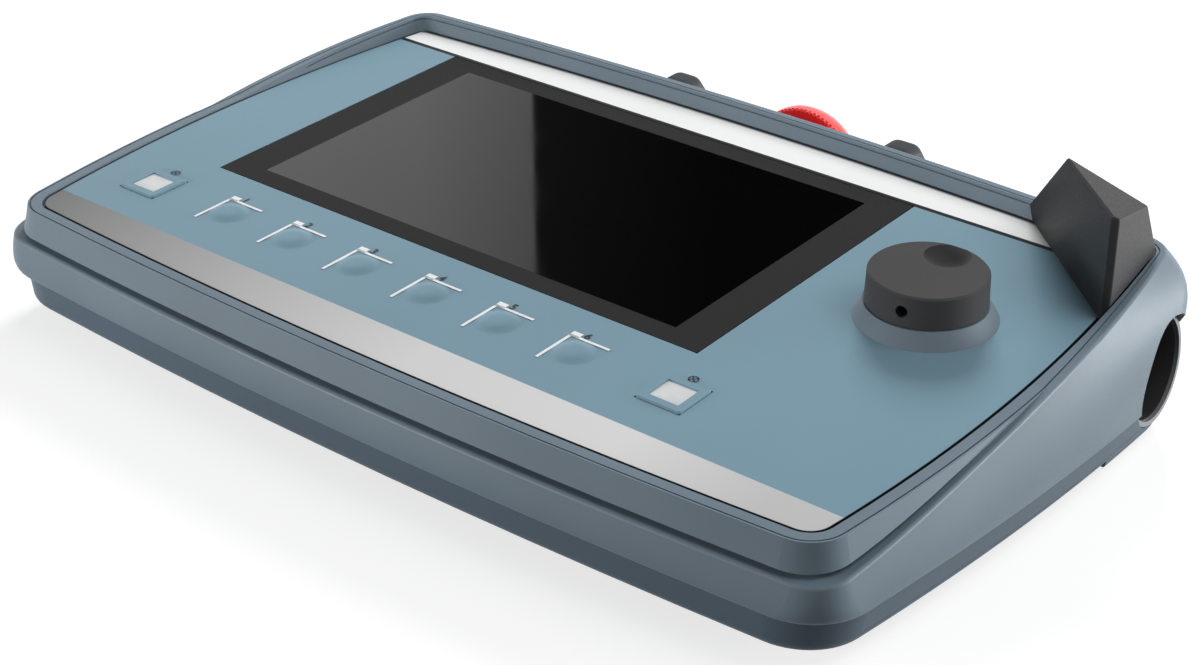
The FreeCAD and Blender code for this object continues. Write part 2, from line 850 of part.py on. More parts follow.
def board_chips():
    """Processor, memory and headers on the underside of the main board."""
    low = board_under_z
    made = [block(display_x, 0, processor_size, processor_size, low - processor_height, low)]
    for side in (-1, 1):
        x = display_x + side * (processor_size + memory_width)
        made.append(block(x, 0, memory_width, memory_depth, low - memory_height, low))
        y = side * (board_depth - 2 * header_depth) / 2
        made.append(block(display_x, y, header_width, header_depth, low - header_height, low))
    return on_panel(Part.makeCompound(made))


def key_board():
    sheet = block(display_x, key_board_y, key_board_width, key_board_depth,
                  key_board_under_z, key_board_top_z)
    holes = [rod(small_screw_radius + screw_gap, x, y, key_board_under_z, key_board_top_z)
             for x, y in key_board_bosses()]
    return on_panel(sheet.cut(holes))


def snap_domes():
    """Metal snap domes on the key board, one under each key."""
    made = [Part.makeCone(snap_radius, snap_radius / 2, snap_height, Vector(x, y, key_board_top_z), Z)
            for x, y in key_places()]
    return on_panel(Part.makeCompound(made))


def lamp_diodes():
    top = key_board_top_z + led_height
    made = [block(x, y, led_size, led_size, key_board_top_z, top) for x, y in lamp_places()]
    return on_panel(Part.makeCompound(made))


def function_key(x, y):
    """Domed key with a retaining flange under the plate and a stem to its snap dome."""
    ball = (key_radius ** 2 + key_dome ** 2) / (2 * key_dome)
    dome = Part.makeSphere(ball, Vector(x, y, key_dome - ball))
    cap = rod(key_radius, x, y, deck_top_z, key_dome).common(dome.fuse(rod(key_radius, x, y, deck_top_z, 0)))
    flange = rod(key_radius + key_flange, x, y, deck_top_z - key_flange_thickness, deck_top_z)
    stem = rod(key_stem_radius, x, y, deck_top_z - key_stem_length, deck_top_z)
    return on_panel(cap.fuse([flange, stem]).removeSplitter())


def lamp_cap(x, y):
    """Square button frame round its lens, with a retaining flange under the plate."""
    cap = rounded_block(x, y, lamp_size, lamp_size, deck_top_z, lamp_proud, lamp_round)
    cap = cap.makeChamfer(lamp_bevel, [e for e in cap.Edges if e.BoundBox.ZMin > lamp_proud - tiny])
    flange = lamp_size + 2 * lamp_flange
    skirt = block(x, y, flange, flange, deck_top_z - lamp_flange_thickness, deck_top_z)
    window = block(x, y, lens_width, lens_depth, deck_top_z - lamp_flange_thickness, lamp_proud)
    return on_panel(cap.fuse(skirt).cut(window))


def lamp_lens(x, y):
    """Clear light guide through the button frame."""
    top = lamp_proud - lens_sink
    return on_panel(block(x, y, lens_width, lens_depth, -lens_length, top))


def at_wheel(shape):
    shape.translate(Vector(wheel_x, wheel_y, 0))
    return on_panel(shape)


def handwheel_collar():
    """Conical seat round the handwheel, clamped by the encoder's nut."""
    cone = Part.makeCone(collar_radius, collar_top_radius, collar_height)
    recess = Part.makeCylinder(nut_room, collar_height, Vector(0, 0, collar_floor), Z)
    bore = Part.makeCylinder(bush_radius + bush_gap, collar_height)
    return at_wheel(cone.cut([recess, bore]))


def knob_bottom():
    return collar_height + knob_gap


def handwheel_knob():
    """Round knob with a finger dimple in its top and a screw hole in its side."""
    low = knob_bottom()
    knob = Part.makeCone(knob_radius, knob_top_radius, knob_height, Vector(0, 0, low), Z)
    knob = knob.makeChamfer(knob_edge, [e for e in knob.Edges if e.BoundBox.ZMin > low + knob_height - tiny])
    ball = (dimple_radius ** 2 + dimple_depth ** 2) / (2 * dimple_depth)
    dimple = Part.makeSphere(ball, Vector(0, dimple_y, low + knob_height - dimple_depth + ball))
    bore = Part.makeCylinder(shaft_radius, shaft_in_knob, Vector(0, 0, low), Z)
    return at_wheel(knob.cut([dimple, bore, grip_screw_bore(shaft_radius, 2 * knob_radius)]))


def grip_screw_bore(near, far):
    turn = math.radians(grip_screw_angle)
    axis = Vector(math.cos(turn), math.sin(turn), 0)
    start = Vector(0, 0, knob_bottom() + grip_screw_z) + axis * near
    return Part.makeCylinder(grip_screw_radius, far - near, start, axis)


def handwheel_set_screw():
    return at_wheel(grip_screw_bore(shaft_radius, shaft_radius + grip_screw_length).cut(
        Part.makeCylinder(shaft_radius, REACH, Vector(0, 0, -REACH / 2), Z)))


def handwheel_shaft():
    low = deck_under_z - shaft_in_encoder
    high = knob_bottom() + shaft_in_knob
    return at_wheel(Part.makeCylinder(shaft_radius, high - low, Vector(0, 0, low), Z))


def handwheel_encoder():
    """Encoder case under the deck with a threaded bush up through the plate."""
    low = deck_under_z - encoder_height
    case = rounded_block(0, 0, encoder_size, encoder_size, low, deck_under_z, encoder_corner)
    bush = Part.makeCylinder(bush_radius, bush_length, Vector(0, 0, deck_under_z), Z)
    depth = shaft_in_encoder + shaft_run
    bore = Part.makeCylinder(shaft_radius + shaft_run, REACH, Vector(0, 0, deck_under_z - depth), Z)
    return at_wheel(case.fuse(bush).cut(bore))


def encoder_nut():
    nut = hexagon(nut_flats, collar_floor, collar_floor + nut_height)
    return at_wheel(nut.cut(Part.makeCylinder(bush_radius + screw_gap, REACH, Vector(0, 0, 0), Z)))


def corner_guard():
    """Wedge on the plate's rear right corner: it follows the rim's leaning wall and shields the handwheel."""
    base = grown(plate, shadow_gap - guard_gap)
    waist = grown(base, wall_lean * guard_waist_height)
    corner_x = plate_half - guard_corner_in
    corner_y = plate_rear - guard_corner_back

    def on_line(x, z):
        return Vector(x, guard_line(x), z)

    def rear_end(outline, z):
        """Where the front line meets the outline's bowed rear edge."""
        bow = outline[6]
        above_centre = guard_line(0) - (outline[2] - bow)
        square = 1 + guard_slope ** 2
        half_linear = guard_slope * above_centre
        root = math.sqrt(half_linear ** 2 - square * (above_centre ** 2 - bow ** 2))
        return on_line((-half_linear - root) / square, z)

    def side_end(outline, z):
        """Where the front line meets the outline's bowed side."""
        y = guard_right_y
        for _ in range(guard_steps):
            y = guard_line(side_at(outline, y))
        return on_line(side_at(outline, y), z)

    left = rear_end(base, 0)
    left_up = rear_end(waist, guard_waist_height)
    right = side_end(base, 0)
    right_up = side_end(waist, guard_waist_height)
    rear_right = Vector(side_at(base, corner_y), corner_y, 0)
    rear_right_up = Vector(side_at(waist, corner_y), corner_y, guard_waist_height)
    rear = Vector(corner_x, rear_at(base, corner_x), 0)
    rear_up = Vector(corner_x, rear_at(waist, corner_x), guard_waist_height)
    crest_left = on_line(plate_half - guard_crest_left_in, guard_height)
    crest_right = on_line(right_up.x - guard_crest_lean, guard_right_height)
    across = (crest_right - right_up).cross(rear_right_up - right_up)
    crest_rear = Vector(right_up.x, plate_rear - guard_crest_rear_back, guard_rear_height)
    crest_rear.x -= across.dot(crest_rear - right_up) / across.x
    rings = [
        (left, right, rear_right, rear),
        (left, right, right_up, crest_right, crest_left, left_up),
        (crest_left, crest_right, crest_rear),
        (right_up, crest_right, crest_rear, rear_right_up),
        (right, right_up, rear_right_up),
        (right, rear_right_up, rear_right),
        (rear_right, rear_right_up, rear_up),
        (rear_right, rear_up, rear),
        (rear, rear_up, left_up),
        (rear, left_up, left),
        (rear_right_up, crest_rear, rear_up),
        (rear_up, crest_rear, crest_left),
        (rear_up, crest_left, left_up),
    ]
    middle = (left + right + crest_rear) / 3
    faces = []
    for ring in rings:
        normal = (ring[1] - ring[0]).cross(ring[2] - ring[0])
        turned = ring if normal.dot(ring[0] - middle) > 0 else tuple(reversed(ring))
        faces.append(Part.Face(Part.makePolygon(turned + turned[:1])))
    wedge = Part.makeSolid(Part.makeShell(faces))

    def joins(edge, point):
        return min(v.Point.distanceToPoint(point) for v in edge.Vertexes) < tiny

    def in_front(edge):
        return max(abs(v.Y - guard_line(v.X)) for v in edge.Vertexes) < tiny

    upright = [e for e in wedge.Edges if joins(e, right_up) and joins(e, crest_right)]
    wedge = wedge.makeChamfer(guard_bevel, upright)
    high = [e for e in wedge.Edges if e.BoundBox.ZMax > guard_rear_height + guard_round]
    wedge = wedge.makeFillet(guard_round, [e for e in high if in_front(e) or not joins(e, crest_left)])
    holes = [rod(guard_screw_radius + screw_gap, x, y, 0, guard_screw_bite) for x, y in guard_places()]
    return on_panel(wedge.cut(holes))


def guard_screws():
    made = [screw(small_screw_head, small_screw_head_height, guard_screw_radius, x, y,
                  deck_under_z, guard_screw_bite, True) for x, y in guard_places()]
    return on_panel(Part.makeCompound(made))


def at_stop(shape):
    """Carries a shape from an upright axis to the emergency stop's axis, its z becoming the way out."""
    shape.rotate(ORIGIN, X, -90)
    shape.translate(Vector(0, 0, stop_z))
    return on_panel(shape)


def stop_body():
    """Fixed barrel through the rear wall, bored for the plunger."""
    barrel = rod(stop_body_radius, 0, 0, stop_body_in, stop_boss_out)
    return at_stop(barrel.cut(rod(stop_plunger_radius + stop_run, 0, 0, stop_body_in, stop_boss_out)))


def stop_collar():
    """Round collar outside the wall, under the head."""
    top = stop_boss_out + stop_collar_length
    ring = rod(stop_collar_radius, 0, 0, stop_boss_out, top)
    ring = ring.makeChamfer(stop_collar_edge, [e for e in ring.Edges if e.BoundBox.ZMin > top - tiny])
    return at_stop(ring.cut(rod(stop_plunger_radius + stop_run, 0, 0, stop_boss_out, top)))


def stop_nut():
    nut = hexagon(stop_nut_flats, stop_boss_in - stop_nut_length, stop_boss_in)
    return at_stop(nut.cut(rod(stop_body_radius + screw_gap, 0, 0, 0, REACH)))


def stop_plunger():
    """Sliding plunger with the neck that the head turns on."""
    stem = rod(stop_plunger_radius, 0, 0, stop_body_in, stop_head_y - stop_head_gap)
    neck = rod(stop_neck_radius, 0, 0, stop_head_y - stop_head_gap, stop_head_y + stop_neck_length)
    return at_stop(stem.fuse(neck))


def stop_head():
    """Mushroom head: toothed rim, domed face and a blind bore for the plunger's neck."""
    low = stop_head_y
    shoulder = low + stop_head_rim
    top = low + stop_head_length
    inward = stop_head_radius - stop_head_face
    upward = top - shoulder
    bend = (inward ** 2 + upward ** 2) / (2 * inward)
    half_turn = math.atan2(upward, bend - inward) / 2
    middle = Vector(stop_head_radius - bend + bend * math.cos(half_turn), 0,
                    shoulder + bend * math.sin(half_turn))
    edges = [
        Part.makeLine(Vector(0, 0, low), Vector(stop_head_radius, 0, low)),
        Part.makeLine(Vector(stop_head_radius, 0, low), Vector(stop_head_radius, 0, shoulder)),
        Part.Arc(Vector(stop_head_radius, 0, shoulder), middle, Vector(stop_head_face, 0, top)).toShape(),
        Part.makeLine(Vector(stop_head_face, 0, top), Vector(0, 0, top)),
        Part.makeLine(Vector(0, 0, top), Vector(0, 0, low)),
    ]
    head = Part.Face(Part.Wire(edges)).revolve(ORIGIN, Z, 360)
    cuts = [rod(stop_neck_radius + stop_run, 0, 0, low, low + stop_neck_length + stop_head_gap)]
    for i in range(stop_tooth_count):
        turn = 2 * math.pi * i / stop_tooth_count
        x = stop_head_radius * math.cos(turn)
        y = stop_head_radius * math.sin(turn)
        cuts.append(rod(stop_tooth_radius, x, y, low, low + stop_tooth_length))
    return at_stop(head.cut(cuts))


def stop_contacts():
    """Contact block behind the plunger's full travel, carried by the barrel."""
    near = stop_body_in - stop_travel - stop_head_gap - stop_block_length
    far = stop_body_in
    case = block(0, 0, stop_block_width, stop_block_height, near, far)
    return at_stop(case.cut(rod(stop_plunger_radius + stop_head_gap, 0, 0, near + stop_block_length, far)))


def horn(side):
    """Bumper horn: a rounded rib that rises behind the rim and falls away beside the emergency stop."""
    profile = [
        Vector(0, plate_rear, horn_root_z),
        Vector(0, horn_nose_y - horn_flat, horn_nose_z),
        Vector(0, horn_nose_y, horn_nose_z),
        Vector(0, horn_tip_y, horn_tip_z),
        Vector(0, horn_tip_y, horn_chin_z),
        Vector(0, horn_nose_y, horn_low_z),
        Vector(0, plate_rear, horn_low_z),
    ]
    profile = [point + Vector(side * horn_x - horn_width / 2, 0, 0) for point in profile]
    rib = Part.Face(Part.makePolygon(profile + [profile[0]])).extrude(Vector(horn_width, 0, 0))
    nose = horn_nose_y - horn_flat - horn_round
    rib = rib.makeFillet(horn_round, [e for e in rib.Edges if e.BoundBox.YMax > nose])
    rib = on_panel(rib).cut(belt_solid())
    bore = rear_rod(guard_screw_radius + screw_gap, side * horn_x, horn_screw_z, 0, horn_screw_end())
    return rib.cut(on_panel(bore))


def horn_screw_end():
    return belt_waist_rear + horn_screw_bite


def horn_screws():
    """Screws from inside the rear wall into the horns."""
    seat = horn_seat_y
    made = []
    for side in (-1, 1):
        head = rear_rod(small_screw_head, side * horn_x, horn_screw_z, seat - small_screw_head_height, seat)
        shank = rear_rod(guard_screw_radius, side * horn_x, horn_screw_z, seat, horn_screw_end())
        made.append(head.fuse(shank))
    return on_panel(Part.makeCompound(made))


def cable_sleeve():
    """Sleeve through the housing's side: a wide bore at its mouth, a seat for the insert, a closed end."""
    tube = port_rod(port_radius, -port_length, -port_ring_length)
    seat = port_end - port_length
    mouth = port_rod(port_bore, seat + socket_length, 0)
    return tube.cut([mouth, port_rod(socket_radius + screw_gap, seat, 0)])


def cable_ring():
    return port_rod(port_radius, -port_ring_length, 0).cut(port_rod(port_ring_bore, -port_ring_length, 0))


def cable_socket():
    """Connector insert at the bottom of the sleeve, with a ring of contact holes."""
    near = port_end - port_length
    insert = Part.makeCylinder(socket_radius, socket_length, ORIGIN, X)
    holes = []
    for i in range(socket_hole_count):
        turn = 2 * math.pi * i / socket_hole_count
        place = Vector(socket_length - socket_hole_depth, socket_hole_circle * math.cos(turn),
                       socket_hole_circle * math.sin(turn))
        holes.append(Part.makeCylinder(socket_hole_radius, socket_hole_depth, place, X))
    insert = insert.cut(holes)
    insert.translate(Vector(near, 0, 0))
    insert.rotate(ORIGIN, Y, -port_rise)
    insert.rotate(ORIGIN, Z, port_turn)
    insert.translate(Vector(port_x, port_y, port_z))
    return on_panel(insert)


def enable_button(side):
    """Long enabling button through the floor, kept in by its flange, with a stem into its switch."""
    x = side * enable_x
    low = tub_bottom_z - enable_proud
    face = stadium(x, enable_y, enable_width, enable_length, low, floor_z)
    face = face.makeChamfer(enable_edge, [e for e in face.Edges if e.BoundBox.ZMax < low + tiny])
    grips = []
    for i in range(enable_grip_count):
        y = enable_y + (i - (enable_grip_count - 1) / 2) * enable_grip_pitch
        start = Vector(x - enable_width, y, low + enable_grip_depth - enable_grip_radius)
        grips.append(Part.makeCylinder(enable_grip_radius, 2 * enable_width, start, X))
    face = face.cut(grips)
    flange = stadium(x, enable_y, enable_width + 2 * enable_flange, enable_length + 2 * enable_flange,
                     floor_z, floor_z + enable_flange_thickness)
    stem = rod(enable_stem_radius, x, enable_y, floor_z, enable_bridge_z + enable_bridge_thickness)
    return face.fuse([flange, stem]).removeSplitter()


def enable_switch(side):
    """Switch case on a bridge above its button, bored for the button's stem."""
    x = side * enable_x
    top = enable_bridge_z + enable_bridge_thickness
    bridge = block(x, enable_y, enable_bridge_width, enable_bridge_length, enable_bridge_z, top)
    case_top = enable_bridge_z + enable_case_height
    case = block(x, enable_y, enable_case_width, enable_case_length, enable_bridge_z, case_top)
    bore_top = top + enable_travel + enable_gap
    bore = rod(enable_stem_radius + enable_stem_run, x, enable_y, enable_bridge_z, bore_top)
    holes = []
    for end in (-1, 1):
        y = enable_y + end * (enable_bridge_length - enable_bridge_width) / 2
        holes.append(rod(small_screw_radius + screw_gap, x, y, enable_bridge_z, top))
    return bridge.fuse(case).cut([bore] + holes).removeSplitter()


def enable_screws():
    seat = enable_bridge_z + enable_bridge_thickness
    made = []
    for side in (-1, 1):
        for end in (-1, 1):
            y = enable_y + end * (enable_bridge_length - enable_bridge_width) / 2
            made.append(screw(small_screw_head, small_screw_head_height, small_screw_radius,
                              side * enable_x, y,
                              seat, enable_bridge_z - small_screw_bite, False))
    return Part.makeCompound(made)


def terminal_screws_places():
    x = terminal_width / 2 - stand_radius
    y = terminal_depth / 2 - stand_radius
    return corners(terminal_x, terminal_y, x, y)


def terminal_board():
    """Connection board on four posts, with its terminal block."""
    low = floor_z + terminal_stand
    top = low + board_thickness
    sheet = block(terminal_x, terminal_y, terminal_width, terminal_depth, low, top)
    holes = [rod(small_screw_radius + screw_gap, x, y, low, top) for x, y in terminal_screws_places()]
    return sheet.cut(holes)


def terminal_block():
    low = floor_z + terminal_stand + board_thickness
    high = low + terminal_block_height
    return block(terminal_x, terminal_y, terminal_block_width, terminal_block_depth, low, high)


def terminal_screws():
    seat = floor_z + terminal_stand + board_thickness
    made = [screw(small_screw_head, small_screw_head_height, small_screw_radius, x, y, seat,
                  seat - board_thickness - small_screw_bite, False) for x, y in terminal_screws_places()]
    return Part.makeCompound(made)


def case_screws():
    """Socket screws from the underside into the front shell."""
    made = []
    for x, y in case_screw_points:
        seat = case_screw_seat(y)
        low = seat - case_screw_head_height
        socket = hexagon(case_screw_socket, low, low + case_screw_socket_depth)
        socket.translate(Vector(x, y, 0))
        made.append(screw(case_screw_head, case_screw_head_height, case_screw_radius, x, y,
                          seat, parting_z + case_screw_bite, True).cut(socket))
    return Part.makeCompound(made)


def feet(y, seat):
    """Pair of rubber feet in shallow recesses of the underside."""
    made = []
    for side in (-1, 1):
        pad = rod(foot_radius, side * foot_x, y, 0, seat + foot_recess)
        made.append(pad.makeChamfer(foot_edge, [e for e in pad.Edges if e.BoundBox.ZMax < tiny]))
    return Part.makeCompound(made)


def all_nodes():
    """Every piece of the panel by name, in the resting frame."""
    nodes = {
        "front_shell": front_shell(),
        "rear_shell": rear_shell(),
        "housing_seal": housing_seal(),
        "front_plate": front_plate(),
        "display_glass": display_glass(),
        "lcd_module": lcd_module(),
        "lcd_bracket": lcd_bracket(),
        "lcd_screws": small_screws(bracket_bosses(), bracket_under_z, lcd_under_z + small_screw_bite),
        "board_stands": board_stands(),
        "main_board": main_board(),
        "board_chips": board_chips(),
        "board_screws": small_screws(board_places(), board_under_z, board_top_z + small_screw_bite),
        "key_board": key_board(),
        "key_board_screws": small_screws(key_board_bosses(), key_board_under_z,
                                         key_board_top_z + small_screw_bite),
        "snap_domes": snap_domes(),
        "lamp_diodes": lamp_diodes(),
        "handwheel_collar": handwheel_collar(),
        "handwheel_knob": handwheel_knob(),
        "handwheel_shaft": handwheel_shaft(),
        "handwheel_set_screw": handwheel_set_screw(),
        "handwheel_encoder": handwheel_encoder(),
        "encoder_nut": encoder_nut(),
        "corner_guard": corner_guard(),
        "guard_screws": guard_screws(),
        "stop_head": stop_head(),
        "stop_plunger": stop_plunger(),
        "stop_body": stop_body(),
        "stop_collar": stop_collar(),
        "stop_nut": stop_nut(),
        "stop_contacts": stop_contacts(),
        "horn_left": horn(-1),
        "horn_right": horn(1),
        "horn_screws": horn_screws(),
        "cable_sleeve": cable_sleeve(),
        "cable_ring": cable_ring(),
        "cable_socket": cable_socket(),
        "enable_button_left": enable_button(-1),
        "enable_button_right": enable_button(1),
        "enable_switch_left": enable_switch(-1),
        "enable_switch_right": enable_switch(1),
        "enable_screws": enable_screws(),
        "terminal_board": terminal_board(),
        "terminal_block": terminal_block(),
        "terminal_screws": terminal_screws(),
        "case_screws": case_screws(),
        "feet_front": feet(foot_front_y, tub_bottom_z),
        "feet_rear": feet(foot_rear_y, step_bottom_z),
    }
    for i, (x, y) in enumerate(key_places()):
        nodes["function_key_%d" % (i + 1)] = function_key(x, y)
    for name, (x, y) in zip(("left", "right"), lamp_places()):
        nodes["lamp_cap_" + name] = lamp_cap(x, y)
        nodes["lamp_lens_" + name] = lamp_lens(x, y)
    return nodes


def middle_shift(nodes):
    """Moves the origin under the middle of the whole part's box."""
    box = Part.makeCompound(list(nodes.values())).optimalBoundingBox(False, False)
    return Vector(0, -(box.YMin + box.YMax) / 2, 0)


os.makedirs("parts", exist_ok=True)
panel_nodes = all_nodes()
shift = middle_shift(panel_nodes)
for node_name, node_shape in panel_nodes.items():
    node_shape.translate(shift)
    node_shape.exportStep("parts/" + node_name + ".step")
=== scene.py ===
import json
import math
import bpy
from mathutils import Matrix, Vector


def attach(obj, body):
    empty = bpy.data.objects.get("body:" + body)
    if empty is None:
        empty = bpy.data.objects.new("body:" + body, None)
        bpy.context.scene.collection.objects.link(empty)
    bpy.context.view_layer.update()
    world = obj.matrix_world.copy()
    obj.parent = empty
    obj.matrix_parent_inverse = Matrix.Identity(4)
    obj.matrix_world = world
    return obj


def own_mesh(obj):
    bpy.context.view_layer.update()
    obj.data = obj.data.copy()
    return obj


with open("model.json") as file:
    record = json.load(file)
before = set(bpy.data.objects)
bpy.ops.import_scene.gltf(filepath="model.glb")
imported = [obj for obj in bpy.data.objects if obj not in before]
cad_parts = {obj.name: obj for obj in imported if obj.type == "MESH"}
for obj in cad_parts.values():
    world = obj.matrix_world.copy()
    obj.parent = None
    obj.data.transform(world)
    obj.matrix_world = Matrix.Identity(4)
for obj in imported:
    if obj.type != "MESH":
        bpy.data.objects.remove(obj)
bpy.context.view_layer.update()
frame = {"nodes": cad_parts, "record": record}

# Sizes are in millimetres on the front plate, unless a comment says otherwise: x to the right and y to the
# rear from the display's middle, z out of the plate. panel_matrix carries them to the frame's metres.
MM = 0.001

# Where the operator stands: the camera's eye, the point that it looks at, its roll and its lens
EYE = (382.7, -462.9, 298.7)
AIM = (62.2, -60.1, 0.0)
ROLL_DEGREES = 0.2
SENSOR_WIDTH = 36.0
FOCAL_PIXELS = 2275.5
PICTURE_WIDTH = 1200.0
NEAREST_SEEN = 0.01

# Printed zones of the front plate
BAR_REAR = -91.9
LINE_FRONT = 52.7
LINE_REAR = 54.5
PLATE_HALF = 141.0
PRINT_BLUR = 0.08

# Painted shade along the plate's outline, standing in for the shade in the gap round the plate: its width, and
# its width and blur where it widens into soft painted shade at the foot of the rear wall
PLATE_SHADE_LINE = 0.18
WALL_SHADE_WIDTH = 1.1
WALL_SHADE_BLUR = 0.6

# Outline of the front plate, in millimetres of the frame: the middle and the radius of its long curves, with
# the width and the blur of the painted shade line along each
PLATE_CURVES = (
    ((0.0, 1892.008, 188.552), 2000.0, PLATE_SHADE_LINE, PRINT_BLUR),
    ((-399.2, -19.641, 41.459), 540.0, PLATE_SHADE_LINE, PRINT_BLUR),
    ((399.2, -19.641, 41.459), 540.0, PLATE_SHADE_LINE, PRINT_BLUR),
    ((0.0, -1722.607, -89.577), 1800.0, WALL_SHADE_WIDTH, WALL_SHADE_BLUR),
)
# Its right corners, which the left ones mirror: the middle, the radius, the way that the corner points and how
# far its ends lie that way
PLATE_CORNERS = (
    ((129.332, -91.329, 35.943), 6.6, (0.682, -0.729, -0.056), 5.109),
    ((131.588, 64.786, 47.955), 2.5, (0.676, 0.734, 0.056), 1.959),
)

# Screen and print on the front
WHEEL_X = 124.4
SCREEN_WIDTH = 152.4
SCREEN_DEPTH = 91.44
SCREEN_LIFT = 0.02
KEY_COUNT = 6
KEY_PITCH = 25.5
MARK_X = -70.9
MARK_Y = -65.4
MARK_LINE = 0.95
MARK_ACROSS = 13.4
MARK_DOWN = 14.6
MARK_SQUARE_WIDTH = 3.2
MARK_SQUARE_DEPTH = 2.6
PRINT_LIFT = 0.15
NUMBER_SIZE = 3.9
NUMBER_BOLD = 0.05
NUMBER_GAP = 0.5
NUMBER_RISE = 0.35
LAMP_X = 95.7
LAMP_Y = -72.8
SYMBOL_RADIUS = 1.5
SYMBOL_LINE = 0.32
SYMBOL_OFFSET = (-0.2, 8.8)
SYMBOL_STEPS = 48

# Card that the screen mirrors: pale at its left, dark to the right of its edge
CARD_REAR = 1500.0
CARD_START = -1900.0
CARD_END = -300.0
CARD_HEIGHTS = (650.0, 1350.0)
CARD_LEVELS = ((-1700.0, 1.0), (-1480.0, 0.9), (-1285.0, 0.6), (-1281.0, 0.03), (-1000.0, 0.0))

# Film domes over the function keys
KEY_X = -64.4
KEY_Y = -72.3
FILM_RADIUS = 6.3
FILM_HEIGHT = 0.98
FILM_EDGE = 0.02
FILM_RINGS = 14
FILM_STEPS = 48

# Contact pins in the cable socket, which stand on the floors of its holes
PIN_COUNT = 8
PIN_CIRCLE = 7.0
PIN_RADIUS = 0.75
PIN_LENGTH = 5.2
PIN_SIDES = 24
PIN_HOLE_DEPTH = 6.0

# Smooth skin on the round along the tub's lower side edges, in millimetres of the frame: the middle and the
# radius of the right side's curve, the round's radius and the height of its axis, and the ends of the skin
EDGE_MIDDLE = (-949.2, 14.288)
EDGE_CURVE = 1094.494
EDGE_ROUND = 3.6
EDGE_HEIGHT = 8.4
EDGE_FRONT = -86.9
EDGE_REAR = 50.7
EDGE_TOP_DEGREES = -8.43
EDGE_LIFT = 0.02
EDGE_STEPS = 80
EDGE_ARC_STEPS = 20

# Finishes: the size of the slow drift of tone, and the levels between which noise is spread
TONE_SIZE = 38.0
NOISE_LOW = 0.3
NOISE_HIGH = 0.7

# Studio: each soft light's place, width, depth and level, in metres, where level 1 is white
LIGHTS_AIM = (0.0, 0.0, 0.04)
TOP_LIGHT = ((-0.42, 0.8, 0.69), 0.42, 0.42, 23.0)
OVER_LIGHT = ((0.38, 0.06, 0.56), 0.4, 0.4, 3.2)
RIGHT_LIGHT = ((1.25, 1.05, 0.22), 0.9, 0.36, 25.0)
LEFT_LIGHT = ((-0.46, -0.72, 0.12), 0.3, 0.18, 27.0)
SKY_LEVEL = 0.1
FLOOR_HALF = 6.0
FLOOR_GLOW = 0.72
FLOOR_PAPER = (0.42, 0.42, 0.42, 1.0)
FLOOR_DIM = (0.02, 0.02, 0.02, 1.0)

joints = {joint["name"]: joint for joint in frame["record"]["behaviour"]["joints"]}
mounts = {mount["name"]: mount for mount in frame["record"]["mounts"]}
nodes_of_frame = frame["nodes"]


def panel_axes():
    """Matrix from millimetres on the front plate to the frame, read from the handwheel's joint."""
    spin = joints["handwheel_spin"]
    out = Vector(spin["axis"]).normalized()
    right = Vector((1, 0, 0))
    rear = out.cross(right)
    wheel = Vector(spin["pos_m"])
    middle = wheel - right * WHEEL_X * MM
    turn = Matrix((right, rear, out)).transposed().to_4x4()
    return Matrix.Translation(middle) @ turn @ Matrix.Scale(MM, 4)


panel_matrix = panel_axes()
panel_rear = panel_matrix.col[1].to_3d().normalized()
panel_out = panel_matrix.col[2].to_3d().normalized()


def on_panel(x, y, z):
    """Point of the front plate, in the frame's metres."""
    return panel_matrix @ Vector((x, y, z))


def linear(red, green, blue):
    """Colour as picked on a screen, 0 to 255, in the renderer's own scale."""
    def one(value):
        share = value / 255
        return share / 12.92 if share <= 0.04045 else ((share + 0.055) / 1.055) ** 2.4
    return (one(red), one(green), one(blue), 1.0)


# Materials

